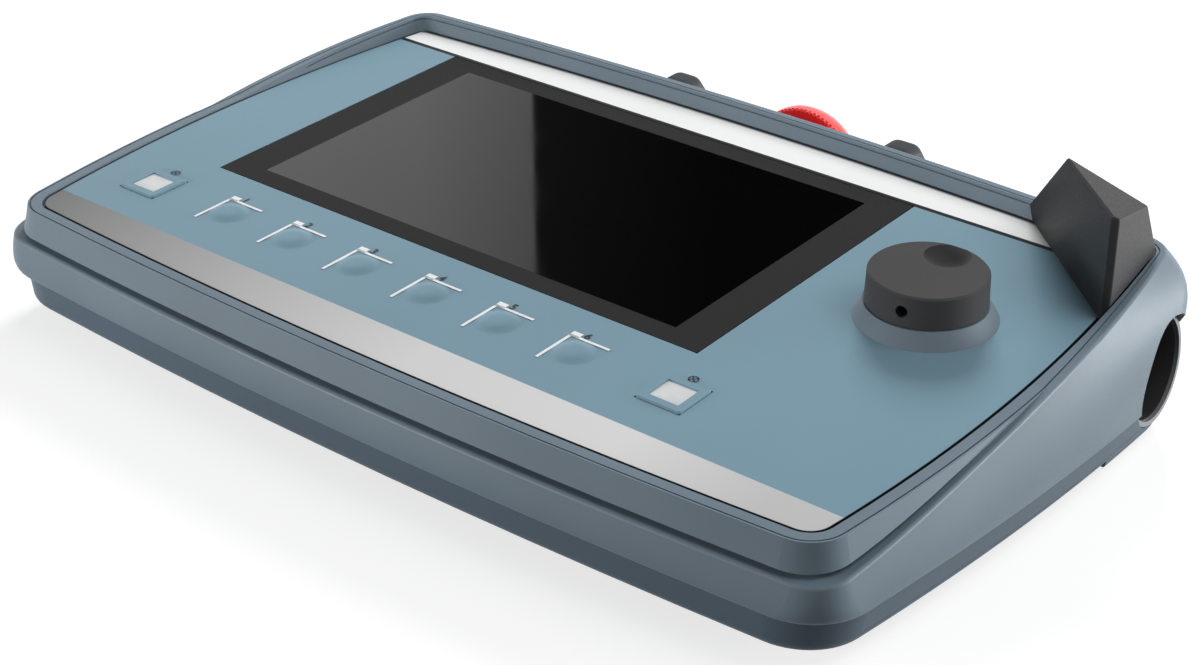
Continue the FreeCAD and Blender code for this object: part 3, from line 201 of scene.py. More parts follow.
class Finish:
    """A material under way: its tree, its shader and the few nodes that every finish is made of."""

    def __init__(self, name, roughness, metallic=0.0, specular=0.5):
        self.material = bpy.data.materials.new(name)
        self.material.use_nodes = True
        self.tree = self.material.node_tree
        self.shader = self.tree.nodes["Principled BSDF"]
        self.shader.inputs["Roughness"].default_value = roughness
        self.shader.inputs["Metallic"].default_value = metallic
        self.shader.inputs["Specular IOR Level"].default_value = specular
        self.roughness = roughness
        self.place = self.node("ShaderNodeTexCoord").outputs["Object"]

    def node(self, kind):
        """Adds a node."""
        return self.tree.nodes.new(kind)

    def link(self, output, target):
        """Joins an output to an input."""
        self.tree.links.new(output, target)

    def noise(self, size, detail=2.0, stretch=None):
        """Noise whose features are about the given size in millimetres."""
        texture = self.node("ShaderNodeTexNoise")
        texture.inputs["Scale"].default_value = 1 / (size * MM)
        texture.inputs["Detail"].default_value = detail
        place = self.place
        if stretch:
            mapping = self.node("ShaderNodeMapping")
            mapping.inputs["Scale"].default_value = stretch
            self.link(place, mapping.inputs["Vector"])
            place = mapping.outputs["Vector"]
        self.link(place, texture.inputs["Vector"])
        return texture.outputs["Fac"]

    def ramp(self, factor, *stops):
        """Colour ramp over pairs of place and colour."""
        ramp = self.node("ShaderNodeValToRGB")
        elements = ramp.color_ramp.elements
        while len(elements) < len(stops):
            elements.new(1.0)
        for element, (place, colour) in zip(elements, stops):
            element.position = place
            element.color = colour
        self.link(factor, ramp.inputs["Fac"])
        return ramp.outputs["Color"]

    def drift(self, noise, low, high):
        """Colour that drifts between two colours with a noise."""
        return self.ramp(noise, (NOISE_LOW, low), (NOISE_HIGH, high))

    def span(self, value, low, high, to_low=0.0, to_high=1.0):
        """A value spread from one range to another and held at its ends."""
        spread = self.node("ShaderNodeMapRange")
        ends = {"From Min": low, "From Max": high, "To Min": to_low, "To Max": to_high}
        for name, number in ends.items():
            spread.inputs[name].default_value = number
        self.link(value, spread.inputs["Value"])
        return spread.outputs["Result"]

    def blend(self, factor, first, second):
        """First colour where the factor is 0, second where it is 1."""
        mix = self.node("ShaderNodeMix")
        mix.data_type = "RGBA"
        self.link(factor, mix.inputs["Factor"])
        for socket, colour in ((mix.inputs[6], first), (mix.inputs[7], second)):
            if isinstance(colour, tuple):
                socket.default_value = colour
            else:
                self.link(colour, socket)
        return mix.outputs[2]

    def along(self, direction, start):
        """Distance in metres from a point, measured in one direction."""
        away = self.node("ShaderNodeVectorMath")
        away.operation = "SUBTRACT"
        away.inputs[1].default_value = start
        self.link(self.place, away.inputs[0])
        dot = self.node("ShaderNodeVectorMath")
        dot.operation = "DOT_PRODUCT"
        dot.inputs[1].default_value = direction
        self.link(away.outputs["Vector"], dot.inputs[0])
        return dot.outputs["Value"]

    def away(self, point):
        """Distance in metres from a point."""
        distance = self.node("ShaderNodeVectorMath")
        distance.operation = "DISTANCE"
        distance.inputs[1].default_value = point
        self.link(self.place, distance.inputs[0])
        return distance.outputs["Value"]

    def beyond(self, distance, limit, blur=PRINT_BLUR):
        """0 before a limit in millimetres and 1 beyond it, with a soft step between."""
        return self.span(distance, (limit - blur) * MM, (limit + blur) * MM)

    def combined(self, operation, first, second):
        """Two factors put together by a math operation."""
        made = self.node("ShaderNodeMath")
        made.operation = operation
        self.link(first, made.inputs[0])
        self.link(second, made.inputs[1])
        return made.outputs["Value"]

    def colour(self, output):
        """Sets the colour of the finish."""
        self.link(output, self.shader.inputs["Base Color"])
        return self

    def rough(self, factor, spread):
        """Roughness that wanders by a spread round the finish's own value."""
        low = self.roughness - spread
        high = self.roughness + spread
        self.link(self.span(factor, NOISE_LOW, NOISE_HIGH, low, high), self.shader.inputs["Roughness"])
        return self

    def bump(self, factor, height, strength=1.0):
        """Relief of a height in millimetres."""
        bump = self.node("ShaderNodeBump")
        bump.inputs["Strength"].default_value = strength
        bump.inputs["Distance"].default_value = height * MM
        self.link(factor, bump.inputs["Height"])
        self.link(bump.outputs["Normal"], self.shader.inputs["Normal"])
        return self


def shade(colour, factor):
    """A colour made lighter or darker."""
    return tuple(channel * factor for channel in colour[:3]) + (1.0,)


def moulded(name, colour, roughness, grain, relief, mottle=0.05, specular=0.5):
    """Moulded plastic or rubber: fine spark grain, a slow drift of tone and an uneven gloss."""
    finish = Finish(name, roughness, specular=specular)
    tone = finish.noise(TONE_SIZE)
    finish.colour(finish.drift(tone, shade(colour, 1 - mottle), shade(colour, 1 + mottle)))
    grains = finish.noise(grain)
    finish.rough(grains, 0.06)
    return finish.bump(grains, relief, 0.5).material


def metal(name, colour, roughness, brushed=None):
    """Bare metal with fine turning or brushing marks."""
    finish = Finish(name, roughness, metallic=1.0)
    tone = finish.noise(6.0, 3.0, brushed)
    finish.colour(finish.drift(tone, shade(colour, 0.9), colour))
    marks = finish.noise(0.4, stretch=brushed)
    finish.rough(marks, 0.08)
    return finish.bump(marks, 0.01, 0.3).material


BLUE = linear(117, 147, 162)
HOUSING = linear(108, 123, 134)
# The tub's colour is the housing plastic darkened, as painted shade of the lower shell, which faces down
SHADED_TUB = linear(72, 88, 101)


def plate_edge_shade(finish):
    """1 on a thin line of painted shade along the plate's outline, where the gap round the plate lies, and on
    a wider, softer band of painted shade at the foot of the rear wall; 0 inside it.
    """
    lines = [finish.beyond(finish.away(Vector(middle) * MM), radius - line, blur)
             for middle, radius, line, blur in PLATE_CURVES]
    for mirror in (1, -1):
        for (x, y, z), radius, (to_x, to_y, to_z), ends in PLATE_CORNERS:
            middle = Vector((mirror * x, y, z)) * MM
            rim = finish.beyond(finish.away(middle), radius - PLATE_SHADE_LINE)
            corner = finish.beyond(finish.along((mirror * to_x, to_y, to_z), middle), ends)
            lines.append(finish.combined("MULTIPLY", rim, corner))
    whole = lines[0]
    for line in lines[1:]:
        whole = finish.combined("MAXIMUM", whole, line)
    return whole


def printed_plate():
    """Satin blue film with a silver bar at the front, a white strip at the rear and thin black lines: print
    between the blue and the white, and painted shade along the plate's outline. The tone along the silver bar
    is painted reflection.
    """
    finish = Finish("printed plate", 0.42, specular=0.25)
    start = on_panel(0, 0, 0)
    to_rear = finish.along(panel_rear, start)
    to_right = finish.along((1, 0, 0), start)
    tone = finish.noise(60.0)
    blue = finish.drift(tone, shade(BLUE, 0.97), shade(BLUE, 1.02))
    share = finish.span(to_right, -PLATE_HALF * MM, PLATE_HALF * MM)
    # The silver's tone along the bar is painted reflection of the studio light: dark at the left end,
    # brightest right of the middle and a little less at the right end.
    silver = finish.ramp(share, (0.0, linear(78, 79, 80)), (0.32, linear(160, 160, 160)),
                         (0.62, linear(210, 210, 210)), (0.85, linear(214, 214, 214)),
                         (1.0, linear(190, 190, 191)))
    white = finish.drift(tone, linear(233, 234, 234), linear(239, 239, 239))
    black = linear(18, 20, 22)
    rear = finish.blend(finish.beyond(to_rear, LINE_REAR), black, white)
    front = finish.blend(finish.beyond(to_rear, BAR_REAR), silver, blue)
    zones = finish.blend(finish.beyond(to_rear, LINE_FRONT), front, rear)
    # The black along the plate's outline is painted shade of the gap round the plate, not print.
    finish.colour(finish.blend(plate_edge_shade(finish), zones, black))
    grains = finish.noise(0.35)
    finish.rough(grains, 0.05)
    return finish.bump(grains, 0.012, 0.4).material


def key_film():
    """The plate's blue film over the keys and pushbuttons."""
    return moulded("key film", BLUE, 0.42, 0.35, 0.012, 0.02, specular=0.25)


def shaded_tub_plastic():
    """Grained plastic of the tub, a darker tone of the housing plastic: painted shade of the lower shell,
    which faces down.
    """
    return moulded("tub plastic", SHADED_TUB, 0.5, 0.55, 0.02, specular=0.3)


def screen_gloss():
    """Dark display behind clear glass, with a faint cell grid."""
    finish = Finish("screen gloss", 0.03, specular=0.5)
    cells = finish.noise(0.4, 1.0)
    finish.colour(finish.drift(cells, linear(4, 4, 5), linear(9, 9, 10)))
    smears = finish.noise(30.0, 3.0)
    gloss = finish.span(smears, NOISE_LOW, NOISE_HIGH, 0.02, 0.045)
    finish.link(gloss, finish.shader.inputs["Roughness"])
    return finish.material


def screen_border():
    """Satin black border printed behind the glass."""
    return moulded("screen border", linear(40, 40, 41), 0.5, 0.5, 0.004, 0.03, specular=0.05)


def lamp_lens():
    """Milky lens over the lamp, which lets a little light through."""
    finish = Finish("lamp lens", 0.38)
    tone = finish.noise(5.0)
    finish.colour(finish.drift(tone, linear(206, 208, 209), linear(215, 217, 217)))
    finish.shader.inputs["Subsurface Weight"].default_value = 0.2
    finish.shader.inputs["Subsurface Scale"].default_value = 0.002
    grains = finish.noise(0.5)
    return finish.bump(grains, 0.01, 0.3).material


def stop_red():
    """Bright red plastic that lets some light through, with a pale bloom towards its edges."""
    finish = Finish("stop red", 0.36)
    tone = finish.noise(TONE_SIZE)
    finish.colour(finish.drift(tone, linear(250, 34, 32), linear(255, 44, 42)))
    finish.shader.inputs["Subsurface Weight"].default_value = 0.7
    finish.shader.inputs["Subsurface Radius"].default_value = (1.0, 0.15, 0.12)
    finish.shader.inputs["Subsurface Scale"].default_value = 0.012
    finish.shader.inputs["Sheen Weight"].default_value = 0.6
    finish.shader.inputs["Sheen Roughness"].default_value = 0.5
    grains = finish.noise(1.2)
    finish.rough(grains, 0.06)
    return finish.bump(grains, 0.01, 0.5).material


def circuit_board():
    """Green solder mask with copper runs just showing."""
    finish = Finish("circuit board", 0.35)
    runs = finish.noise(2.5, 0.0, (1.0, 6.0, 1.0))
    finish.colour(finish.ramp(runs, (0.45, linear(18, 82, 52)), (0.55, linear(34, 112, 70))))
    return finish.bump(runs, 0.03, 0.5).material


def paint_nodes(film, tub):
    """Gives every node of the frame its finish."""
    finishes = {
        moulded("housing plastic", HOUSING, 0.46, 0.55, 0.02, specular=0.28): ("front_shell",),
        tub: ("rear_shell",),
        moulded("seal rubber", linear(38, 40, 42), 0.7, 0.4, 0.02): (
            "housing_seal", "feet_front", "feet_rear"),
        printed_plate(): ("front_plate",),
        screen_border(): ("display_glass",),
        metal("display tin", linear(170, 172, 175), 0.35): ("lcd_module",),
        metal("zinc sheet", linear(178, 182, 186), 0.4, (1.0, 8.0, 1.0)): ("lcd_bracket", "snap_domes"),
        metal("screw steel", linear(158, 160, 164), 0.32): (
            "lcd_screws", "board_screws", "key_board_screws", "guard_screws", "horn_screws", "enable_screws",
            "terminal_screws", "case_screws", "handwheel_shaft"),
        metal("stand brass", linear(196, 164, 92), 0.35): ("board_stands", "encoder_nut"),
        circuit_board(): ("main_board", "key_board", "terminal_board"),
        moulded("chip resin", linear(34, 34, 36), 0.55, 0.3, 0.01): ("board_chips", "stop_contacts"),
        moulded("diode body", linear(226, 222, 205), 0.4, 0.5, 0.01): ("lamp_diodes",),
        moulded("collar plastic", linear(114, 126, 136), 0.56, 0.5, 0.03, specular=0.12): (
            "handwheel_collar",),
        moulded("knob plastic", linear(71, 71, 71), 0.5, 0.45, 0.015, specular=0.1): ("handwheel_knob",),
        metal("set screw steel", linear(52, 52, 54), 0.4): ("handwheel_set_screw",),
        moulded("encoder case", linear(44, 46, 48), 0.5, 0.5, 0.02): (
            "handwheel_encoder", "enable_switch_left", "enable_switch_right"),
        moulded("guard plastic", linear(42, 42, 43), 0.42, 0.55, 0.012, specular=0.16): ("corner_guard",),
        stop_red(): ("stop_head",),
        moulded("stop black", linear(40, 41, 43), 0.45, 0.5, 0.02): ("stop_body", "stop_collar", "stop_nut"),
        moulded("stop stem", linear(96, 99, 102), 0.4, 0.5, 0.02): ("stop_plunger",),
        moulded("horn rubber", linear(57, 60, 63), 0.6, 0.6, 0.04, specular=0.3): ("horn_left", "horn_right"),
        moulded("port ring", linear(128, 131, 134), 0.35, 0.6, 0.01): ("cable_ring",),
        moulded("sleeve black", linear(52, 51, 52), 0.45, 0.5, 0.02): ("cable_sleeve",),
        moulded("socket black", linear(40, 40, 42), 0.5, 0.5, 0.02): ("cable_socket",),
        moulded("grip rubber", linear(58, 61, 64), 0.62, 0.6, 0.05): (
            "enable_button_left", "enable_button_right"),
        moulded("terminal resin", linear(70, 118, 82), 0.5, 0.5, 0.02): ("terminal_block",),
        lamp_lens(): ("lamp_lens_left", "lamp_lens_right"),
        film: tuple(f"function_key_{n + 1}" for n in range(KEY_COUNT)) + ("lamp_cap_left", "lamp_cap_right"),
    }
    for material, names in finishes.items():
        for name in names:
            mesh = nodes_of_frame[name].data
            mesh.materials.clear()
            mesh.materials.append(material)


# Pieces that the CAD model leaves to the picture

def new_piece(name, mesh, material, body="housing"):
    """A finished mesh as a piece that rides on a body."""
    piece = bpy.data.objects.new(name, mesh)
    bpy.context.scene.collection.objects.link(piece)
    mesh.materials.clear()
    mesh.materials.append(material)
    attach(piece, body)
    return piece


def screen_pane():
    """The lit area of the display, a thin pane on the glass."""
    half_x = SCREEN_WIDTH / 2
    half_y = SCREEN_DEPTH / 2
    corners = [on_panel(x, y, SCREEN_LIFT) for x, y in
               ((-half_x, -half_y), (half_x, -half_y), (half_x, half_y), (-half_x, half_y))]
    mesh = bpy.data.meshes.new("screen_pane")
    mesh.from_pydata(corners, [], [(0, 1, 2, 3)])
    return new_piece("screen_pane", mesh, screen_gloss())


def key_films(material):
    """Film that swells softly over each function key."""
    for n in range(KEY_COUNT):
        x = KEY_X + n * KEY_PITCH
        points = [on_panel(x, KEY_Y, FILM_EDGE + FILM_HEIGHT)]
        for ring in range(1, FILM_RINGS + 1):
            share = ring / FILM_RINGS
            rise = FILM_HEIGHT * (1 - share ** 2) ** 2 * (1 + 2 * share ** 2)
            for step in range(FILM_STEPS):
                angle = 2 * math.pi * step / FILM_STEPS
                reach = FILM_RADIUS * share
                points.append(on_panel(x + reach * math.cos(angle), KEY_Y + reach * math.sin(angle),
                                       FILM_EDGE + rise))
        faces = [(0, 1 + step, 1 + (step + 1) % FILM_STEPS) for step in range(FILM_STEPS)]
        for ring in range(FILM_RINGS - 1):
            inner = 1 + ring * FILM_STEPS
            outer = inner + FILM_STEPS
            for step in range(FILM_STEPS):
                after = (step + 1) % FILM_STEPS
                faces.append((inner + step, outer + step, outer + after, inner + after))
        mesh = bpy.data.meshes.new(f"key_film_{n + 1}")
        mesh.from_pydata(points, [], faces)
        mesh.shade_smooth()
        piece = new_piece(f"key_film_{n + 1}", mesh, material)
        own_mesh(piece)


def tub_edges(material):
    """Skin on the true round of the tub's lower side edges, where the frame's triangles cut across it."""
    middle_x, middle_y = EDGE_MIDDLE
    radius = EDGE_ROUND + EDGE_LIFT
    row = EDGE_ARC_STEPS + 1
    for side, mirror in (("left", -1), ("right", 1)):
        points = []
        for step in range(EDGE_STEPS + 1):
            y = EDGE_FRONT + (EDGE_REAR - EDGE_FRONT) * step / EDGE_STEPS
            turn = math.asin((y - middle_y) / EDGE_CURVE)
            for arc_step in range(row):
                angle = math.radians(-90 + (90 + EDGE_TOP_DEGREES) * arc_step / EDGE_ARC_STEPS)
                reach = EDGE_CURVE + radius * math.cos(angle)
                point = Vector((mirror * (middle_x + reach * math.cos(turn)),
                                middle_y + reach * math.sin(turn),
                                EDGE_HEIGHT + radius * math.sin(angle)))
                points.append(point * MM)
        faces = []
        for start in range(0, EDGE_STEPS * row, row):
            for corner in range(start, start + EDGE_ARC_STEPS):
                face = (corner, corner + row, corner + row + 1, corner + 1)
                faces.append(face[::mirror])
        mesh = bpy.data.meshes.new(f"tub_edge_{side}")
        mesh.from_pydata(points, [], faces)
        mesh.shade_smooth()
        new_piece(f"tub_edge_{side}", mesh, material)


class Tree:
    """A geometry node tree with named inputs for its sizes."""

    def __init__(self, name):
        self.tree = bpy.data.node_groups.new(name, "GeometryNodeTree")
        self.tree.interface.new_socket("Geometry", in_out="OUTPUT", socket_type="NodeSocketGeometry")
        self.sockets = {}

    def size(self, name, kind="NodeSocketFloat"):
        """Adds a named input."""
        self.sockets[name] = self.tree.interface.new_socket(name, in_out="INPUT", socket_type=kind).identifier

    def start(self):
        """Makes the named inputs ready for use."""
        self.given = self.tree.nodes.new("NodeGroupInput").outputs

    def node(self, kind, **links):
        """Adds a node and fills its inputs from outputs or plain values."""
        made = self.tree.nodes.new(kind)
        for name, value in links.items():
            self.fill(made.inputs[name.replace("_", " ")], value)
        return made

    def fill(self, socket, value):
        """Fills an input from an output or a plain value."""
        if isinstance(value, bpy.types.NodeSocket):
            self.tree.links.new(value, socket)
        else:
            socket.default_value = value

    def vector(self, x=0.0, y=0.0, z=0.0):
        """Vector from outputs or plain values."""
        return self.node("ShaderNodeCombineXYZ", X=x, Y=y, Z=z).outputs["Vector"]

    def math(self, operation, first, second):
        """Result of a math operation."""
        made = self.tree.nodes.new("ShaderNodeMath")
        made.operation = operation
        self.fill(made.inputs[0], first)
        self.fill(made.inputs[1], second)
        return made.outputs["Value"]

    def joined(self, *shapes):
        """Shapes joined into one."""
        join = self.tree.nodes.new("GeometryNodeJoinGeometry")
        for shape in shapes:
            self.tree.links.new(shape, join.inputs["Geometry"])
        return join.outputs["Geometry"]

    def finish(self, geometry, material):
        """Realizes the instances, sets the material and ends the tree."""
        real = self.node("GeometryNodeRealizeInstances", Geometry=geometry).outputs["Geometry"]
        painted = self.node("GeometryNodeSetMaterial", Geometry=real, Material=material).outputs["Geometry"]
        end = self.tree.nodes.new("NodeGroupOutput")
        self.tree.links.new(painted, end.inputs["Geometry"])

    def mesh(self, name, values):
        """The tree's result as a plain mesh."""
        holder = bpy.data.objects.new(name, bpy.data.meshes.new(name))
        bpy.context.scene.collection.objects.link(holder)
        modifier = holder.modifiers.new(name, "NODES")
        modifier.node_group = self.tree
        for key, value in values.items():
            modifier[self.sockets[key]] = value
        graph = bpy.context.evaluated_depsgraph_get()
        mesh = bpy.data.meshes.new_from_object(holder.evaluated_get(graph))
        holder.modifiers.remove(modifier)
        bpy.data.objects.remove(holder)
        mesh.name = name
        return mesh


def white_print():
    """White ink."""
    return moulded("white print", linear(236, 238, 239), 0.5, 0.4, 0.01, 0.02)


def dark_print():
    """Dark ink."""
    return moulded("dark print", linear(28, 36, 42), 0.5, 0.4, 0.01, 0.03)


def key_marks():
    """White corner mark with a small square at each function key, laid out in a row by a node tree."""
    material = white_print()
    tree = Tree("key mark row")
    for name in ("Pitch", "Line", "Across", "Down", "Square width", "Square depth"):
        tree.size(name)
    tree.size("Keys", "NodeSocketInt")
    tree.start()
    given = tree.given

    def patch(width, depth, x, y):
        grid = tree.node("GeometryNodeMeshGrid", Size_X=width, Size_Y=depth, Vertices_X=2, Vertices_Y=2)
        middle = tree.vector(tree.math("ADD", x, tree.math("MULTIPLY", width, 0.5)),
                             tree.math("SUBTRACT", y, tree.math("MULTIPLY", depth, 0.5)))
        moved = tree.node("GeometryNodeTransform", Geometry=grid.outputs["Mesh"], Translation=middle)
        return moved.outputs["Geometry"]

    line = given["Line"]
    across = patch(given["Across"], line, 0.0, 0.0)
    down = patch(line, given["Down"], 0.0, 0.0)
    square = patch(given["Square width"], given["Square depth"], 0.0,
                   tree.math("SUBTRACT", given["Square depth"], line))
    mark = tree.joined(across, down, square)
    row = tree.node("GeometryNodeMeshLine", Count=given["Keys"], Offset=tree.vector(given["Pitch"]))
    placed = tree.node("GeometryNodeInstanceOnPoints", Points=row.outputs["Mesh"], Instance=mark)
    tree.finish(placed.outputs["Instances"], material)
    mesh = tree.mesh("key_marks", {
        "Pitch": KEY_PITCH, "Line": MARK_LINE, "Across": MARK_ACROSS, "Down": MARK_DOWN,
        "Square width": MARK_SQUARE_WIDTH, "Square depth": MARK_SQUARE_DEPTH, "Keys": KEY_COUNT})
    mesh.transform(panel_matrix @ Matrix.Translation((MARK_X, MARK_Y, PRINT_LIFT)))
    return new_piece("key_marks", mesh, material)


def lettering(text, x, y):
    """Flat figures on the plate as a mesh, with their lower left corner at x and y."""
    curve = bpy.data.curves.new("figures", "FONT")
    curve.body = text
    curve.size = NUMBER_SIZE
    curve.offset = NUMBER_BOLD
    holder = bpy.data.objects.new("figures", curve)
    bpy.context.scene.collection.objects.link(holder)
    graph = bpy.context.evaluated_depsgraph_get()
    mesh = bpy.data.meshes.new_from_object(holder.evaluated_get(graph))
    bpy.data.objects.remove(holder)
    mesh.transform(panel_matrix @ Matrix.Translation((x, y, PRINT_LIFT)))
    return mesh


def key_numbers(material):
    """Plain numbers beside the squares of the function keys."""
    for n in range(KEY_COUNT):
        x = MARK_X + n * KEY_PITCH + MARK_SQUARE_WIDTH + NUMBER_GAP
        mesh = lettering(str(n + 1), x, MARK_Y + NUMBER_RISE)
        new_piece(f"key_number_{n + 1}", mesh, material)


def lamp_symbols(material):
    """Ring with a cross, the common sign of a lamp, beside both pushbuttons."""
    tree = Tree("lamp sign")
    for name in ("Radius", "Line"):
        tree.size(name)
    tree.start()
    radius = tree.given["Radius"]
    line = tree.given["Line"]
    circle = tree.node("GeometryNodeCurvePrimitiveCircle", Radius=radius, Resolution=SYMBOL_STEPS)
    bar = tree.node("GeometryNodeCurvePrimitiveQuadrilateral", Height=line,
                    Width=tree.math("MULTIPLY", radius, 2.0))
    bar_face = tree.node("GeometryNodeFillCurve", Curve=bar.outputs["Curve"]).outputs["Mesh"]
    inner = tree.node("GeometryNodeCurvePrimitiveCircle", Radius=tree.math("SUBTRACT", radius, line),
                      Resolution=SYMBOL_STEPS)
    both = tree.joined(circle.outputs["Curve"], inner.outputs["Curve"])
    ring = tree.node("GeometryNodeFillCurve", Curve=both).outputs["Mesh"]
    bars = [tree.node("GeometryNodeTransform", Geometry=bar_face, Rotation=(0, 0, math.radians(turn)))
            for turn in (45, -45)]
    tree.finish(tree.joined(ring, *[bar.outputs["Geometry"] for bar in bars]), material)
    for side, x in (("left", -LAMP_X), ("right", LAMP_X)):
        mesh = tree.mesh(f"lamp_symbol_{side}", {"Radius": SYMBOL_RADIUS, "Line": SYMBOL_LINE})
        place = (x + SYMBOL_OFFSET[0], LAMP_Y + SYMBOL_OFFSET[1], PRINT_LIFT)
        mesh.transform(panel_matrix @ Matrix.Translation(place))
        new_piece(f"lamp_symbol_{side}", mesh, material)


def socket_pins():
    """Round-tipped contact pins, one standing in each hole of the cable socket."""
    material = metal("pin gold", linear(214, 178, 96), 0.28)
    tree = Tree("socket pins")
    for name in ("Circle", "Radius", "Length"):
        tree.size(name)
    tree.size("Pins", "NodeSocketInt")
    tree.start()
    radius = tree.given["Radius"]
    length = tree.given["Length"]
    shank = tree.node("GeometryNodeMeshCylinder", Vertices=PIN_SIDES, Radius=radius, Depth=length)
    raised = tree.node("GeometryNodeTransform", Geometry=shank.outputs["Mesh"],
                       Translation=tree.vector(z=tree.math("MULTIPLY", length, 0.5)))
    tip = tree.node("GeometryNodeMeshUVSphere", Segments=PIN_SIDES, Rings=PIN_SIDES // 2, Radius=radius)
    topped = tree.node("GeometryNodeTransform", Geometry=tip.outputs["Mesh"],
                       Translation=tree.vector(z=length))
    pin = tree.joined(raised.outputs["Geometry"], topped.outputs["Geometry"])
    ring = tree.node("GeometryNodeMeshCircle", Vertices=tree.given["Pins"], Radius=tree.given["Circle"])
    placed = tree.node("GeometryNodeInstanceOnPoints", Points=ring.outputs["Mesh"], Instance=pin)
    tree.finish(placed.outputs["Instances"], material)
    mesh = tree.mesh("socket_pins", {
        "Circle": PIN_CIRCLE, "Radius": PIN_RADIUS, "Length": PIN_LENGTH - PIN_RADIUS, "Pins": PIN_COUNT})
    port = mounts["cable_port"]
    outwards = Vector(port["axis"]).normalized()
    rear = panel_out.cross(outwards).normalized()
    floor_of_holes = Vector(port["pos_m"]) - outwards * (port["dims"]["length_mm"] / 2 + PIN_HOLE_DEPTH) * MM
    turn = Matrix((rear, outwards.cross(rear), outwards)).transposed().to_4x4()
    mesh.transform(Matrix.Translation(floor_of_holes) @ turn @ Matrix.Scale(MM, 4))
    return new_piece("socket_pins", mesh, material)


# Stage, light and camera

def looked_at(tree):
    """1 for the rays that show a background: from the camera, or sent on by gloss and glass."""
    path = tree.nodes.new("ShaderNodeLightPath").outputs
    seen = path["Is Camera Ray"]
    for name in ("Is Glossy Ray", "Is Transmission Ray"):
        either = tree.nodes.new("ShaderNodeMath")
        either.operation = "MAXIMUM"
        tree.links.new(seen, either.inputs[0])
        tree.links.new(path[name], either.inputs[1])
        seen = either.outputs["Value"]
    return seen


def floor_paper():
    """White paper that takes the object's shadow and sends little light back up."""
    finish = Finish("floor paper", 0.9)
    tree = finish.tree
    output = tree.nodes["Material Output"]
    seen = looked_at(tree)
    glow = finish.node("ShaderNodeEmission")
    glow.inputs["Strength"].default_value = FLOOR_GLOW
    paper = finish.node("ShaderNodeBsdfDiffuse")
    paper.inputs["Color"].default_value = FLOOR_PAPER
    lit = finish.node("ShaderNodeAddShader")
    finish.link(glow.outputs["Emission"], lit.inputs[0])
    finish.link(paper.outputs["BSDF"], lit.inputs[1])
    dim = finish.node("ShaderNodeBsdfDiffuse")
    dim.inputs["Color"].default_value = FLOOR_DIM
    either = finish.node("ShaderNodeMixShader")
    finish.link(seen, either.inputs["Fac"])
    finish.link(dim.outputs["BSDF"], either.inputs[1])
    finish.link(lit.outputs["Shader"], either.inputs[2])
    finish.link(either.outputs["Shader"], output.inputs["Surface"])
    return finish.material


def floor():
    """Sheet of paper under the object."""
    half = FLOOR_HALF
    corners = [(-half, -half, 0), (half, -half, 0), (half, half, 0), (-half, half, 0)]
    mesh = bpy.data.meshes.new("floor")
    mesh.from_pydata(corners, [], [(0, 1, 2, 3)])
    mesh.materials.append(floor_paper())
    paper = bpy.data.objects.new("floor", mesh)
    bpy.context.scene.collection.objects.link(paper)


def sky():
    """White surroundings to look at, and an even dim light from all round."""
    world = bpy.data.worlds.new("studio")
    bpy.context.scene.world = world
    world.use_nodes = True
    tree = world.node_tree
    background = tree.nodes["Background"]
    background.inputs["Color"].default_value = (1.0, 1.0, 1.0, 1.0)
    level = tree.nodes.new("ShaderNodeMapRange")
    level.inputs["To Min"].default_value = SKY_LEVEL
    level.inputs["To Max"].default_value = 1.0
    tree.links.new(looked_at(tree), level.inputs["Value"])
    tree.links.new(level.outputs["Result"], background.inputs["Strength"])


def softbox(name, place, width, depth, level, mirrored=True):
    """Rectangular soft light whose face shines at a level, where 1 is white; gloss mirrors it or not."""
    light = bpy.data.lights.new(name, "AREA")
    light.shape = "RECTANGLE"
    light.size = width
    light.size_y = depth
    light.energy = level * math.pi * width * depth
    lamp = bpy.data.objects.new(name, light)
    lamp.location = place
    lamp.rotation_euler = (Vector(LIGHTS_AIM) - Vector(place)).to_track_quat("-Z", "Y").to_euler()
    lamp.visible_glossy = mirrored
    bpy.context.scene.collection.objects.link(lamp)


def lights():
    """Key light from the rear left, a weak one over the plate and two low ones at the sides."""
    softbox("top light", *TOP_LIGHT, mirrored=False)
    softbox("over light", *OVER_LIGHT, mirrored=False)
    softbox("right light", *RIGHT_LIGHT)
    softbox("left light", *LEFT_LIGHT)


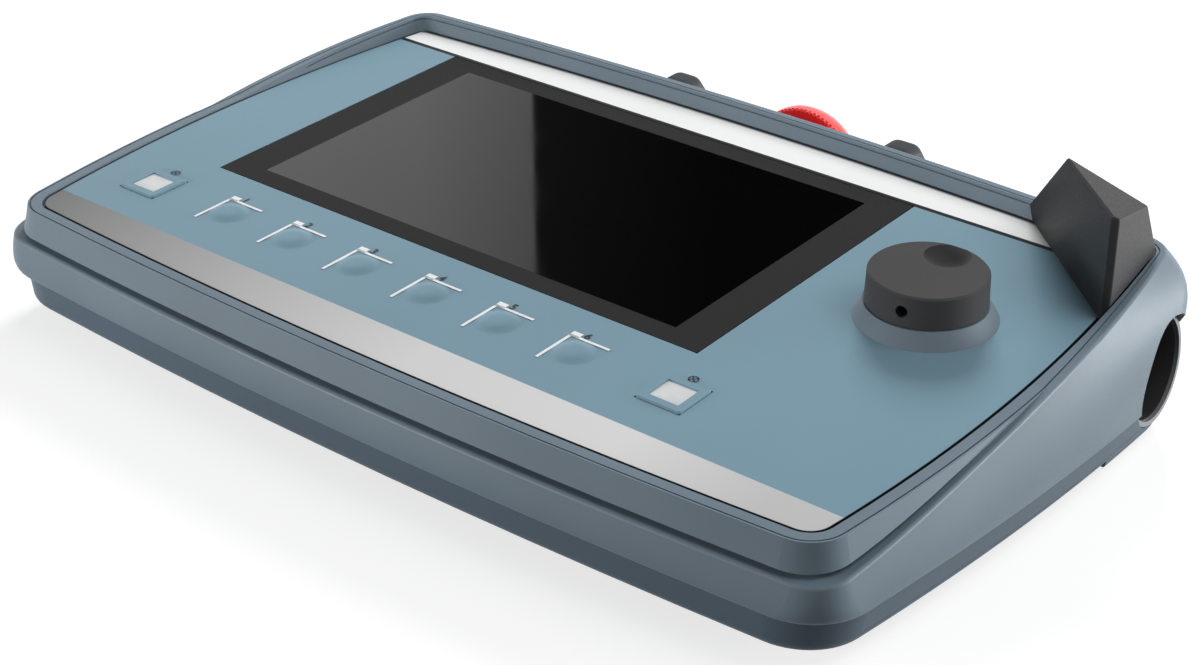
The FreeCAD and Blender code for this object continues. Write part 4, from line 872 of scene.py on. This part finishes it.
def screen_card():
    """Upright card behind the panel, mirrored in the screen and seen nowhere else."""
    low, high = CARD_HEIGHTS
    corners = [on_panel(x, CARD_REAR, z) for x, z in
               ((CARD_START, low), (CARD_END, low), (CARD_END, high), (CARD_START, high))]
    mesh = bpy.data.meshes.new("screen_card")
    mesh.from_pydata(corners, [], [(0, 1, 2, 3)])
    card_finish = Finish("card glow", 0.9, specular=0.0)
    card_finish.shader.inputs["Base Color"].default_value = (0.0, 0.0, 0.0, 1.0)
    card_finish.shader.inputs["Emission Strength"].default_value = 1.0
    width = CARD_END - CARD_START
    to_right = card_finish.along((1, 0, 0), on_panel(CARD_START, CARD_REAR, 0))
    share = card_finish.span(to_right, 0.0, width * MM)
    stops = [((x - CARD_START) / width, (level, level, level, 1.0)) for x, level in CARD_LEVELS]
    card_finish.link(card_finish.ramp(share, *stops), card_finish.shader.inputs["Emission Color"])
    mesh.materials.append(card_finish.material)
    card = bpy.data.objects.new("screen_card", mesh)
    card.visible_camera = False
    card.visible_diffuse = False
    card.visible_shadow = False
    card.visible_transmission = False
    bpy.context.scene.collection.objects.link(card)


def camera():
    """Camera at the operator's right, looking down at the plate."""
    eye = on_panel(*EYE)
    ahead = (on_panel(*AIM) - eye).normalized()
    right = ahead.cross(panel_out).normalized()
    up = right.cross(ahead)
    roll = math.radians(ROLL_DEGREES)
    turned_up = up * math.cos(roll) + right * math.sin(roll)
    turned_right = ahead.cross(turned_up)
    view = bpy.data.cameras.new("operator view")
    view.sensor_fit = "HORIZONTAL"
    view.sensor_width = SENSOR_WIDTH
    view.lens = FOCAL_PIXELS / PICTURE_WIDTH * SENSOR_WIDTH
    view.clip_start = NEAREST_SEEN
    holder = bpy.data.objects.new("operator view", view)
    axes = Matrix((turned_right, turned_up, -ahead)).transposed().to_4x4()
    holder.matrix_world = Matrix.Translation(eye) @ axes
    bpy.context.scene.collection.objects.link(holder)
    bpy.context.scene.camera = holder


film = key_film()
tub = shaded_tub_plastic()
paint_nodes(film, tub)
tub_edges(tub)
screen_pane()
key_films(film)
key_marks()
figures = dark_print()
key_numbers(figures)
lamp_symbols(figures)
socket_pins()
floor()
sky()
lights()
screen_card()
camera()
bpy.context.scene.view_settings.view_transform = "Standard"
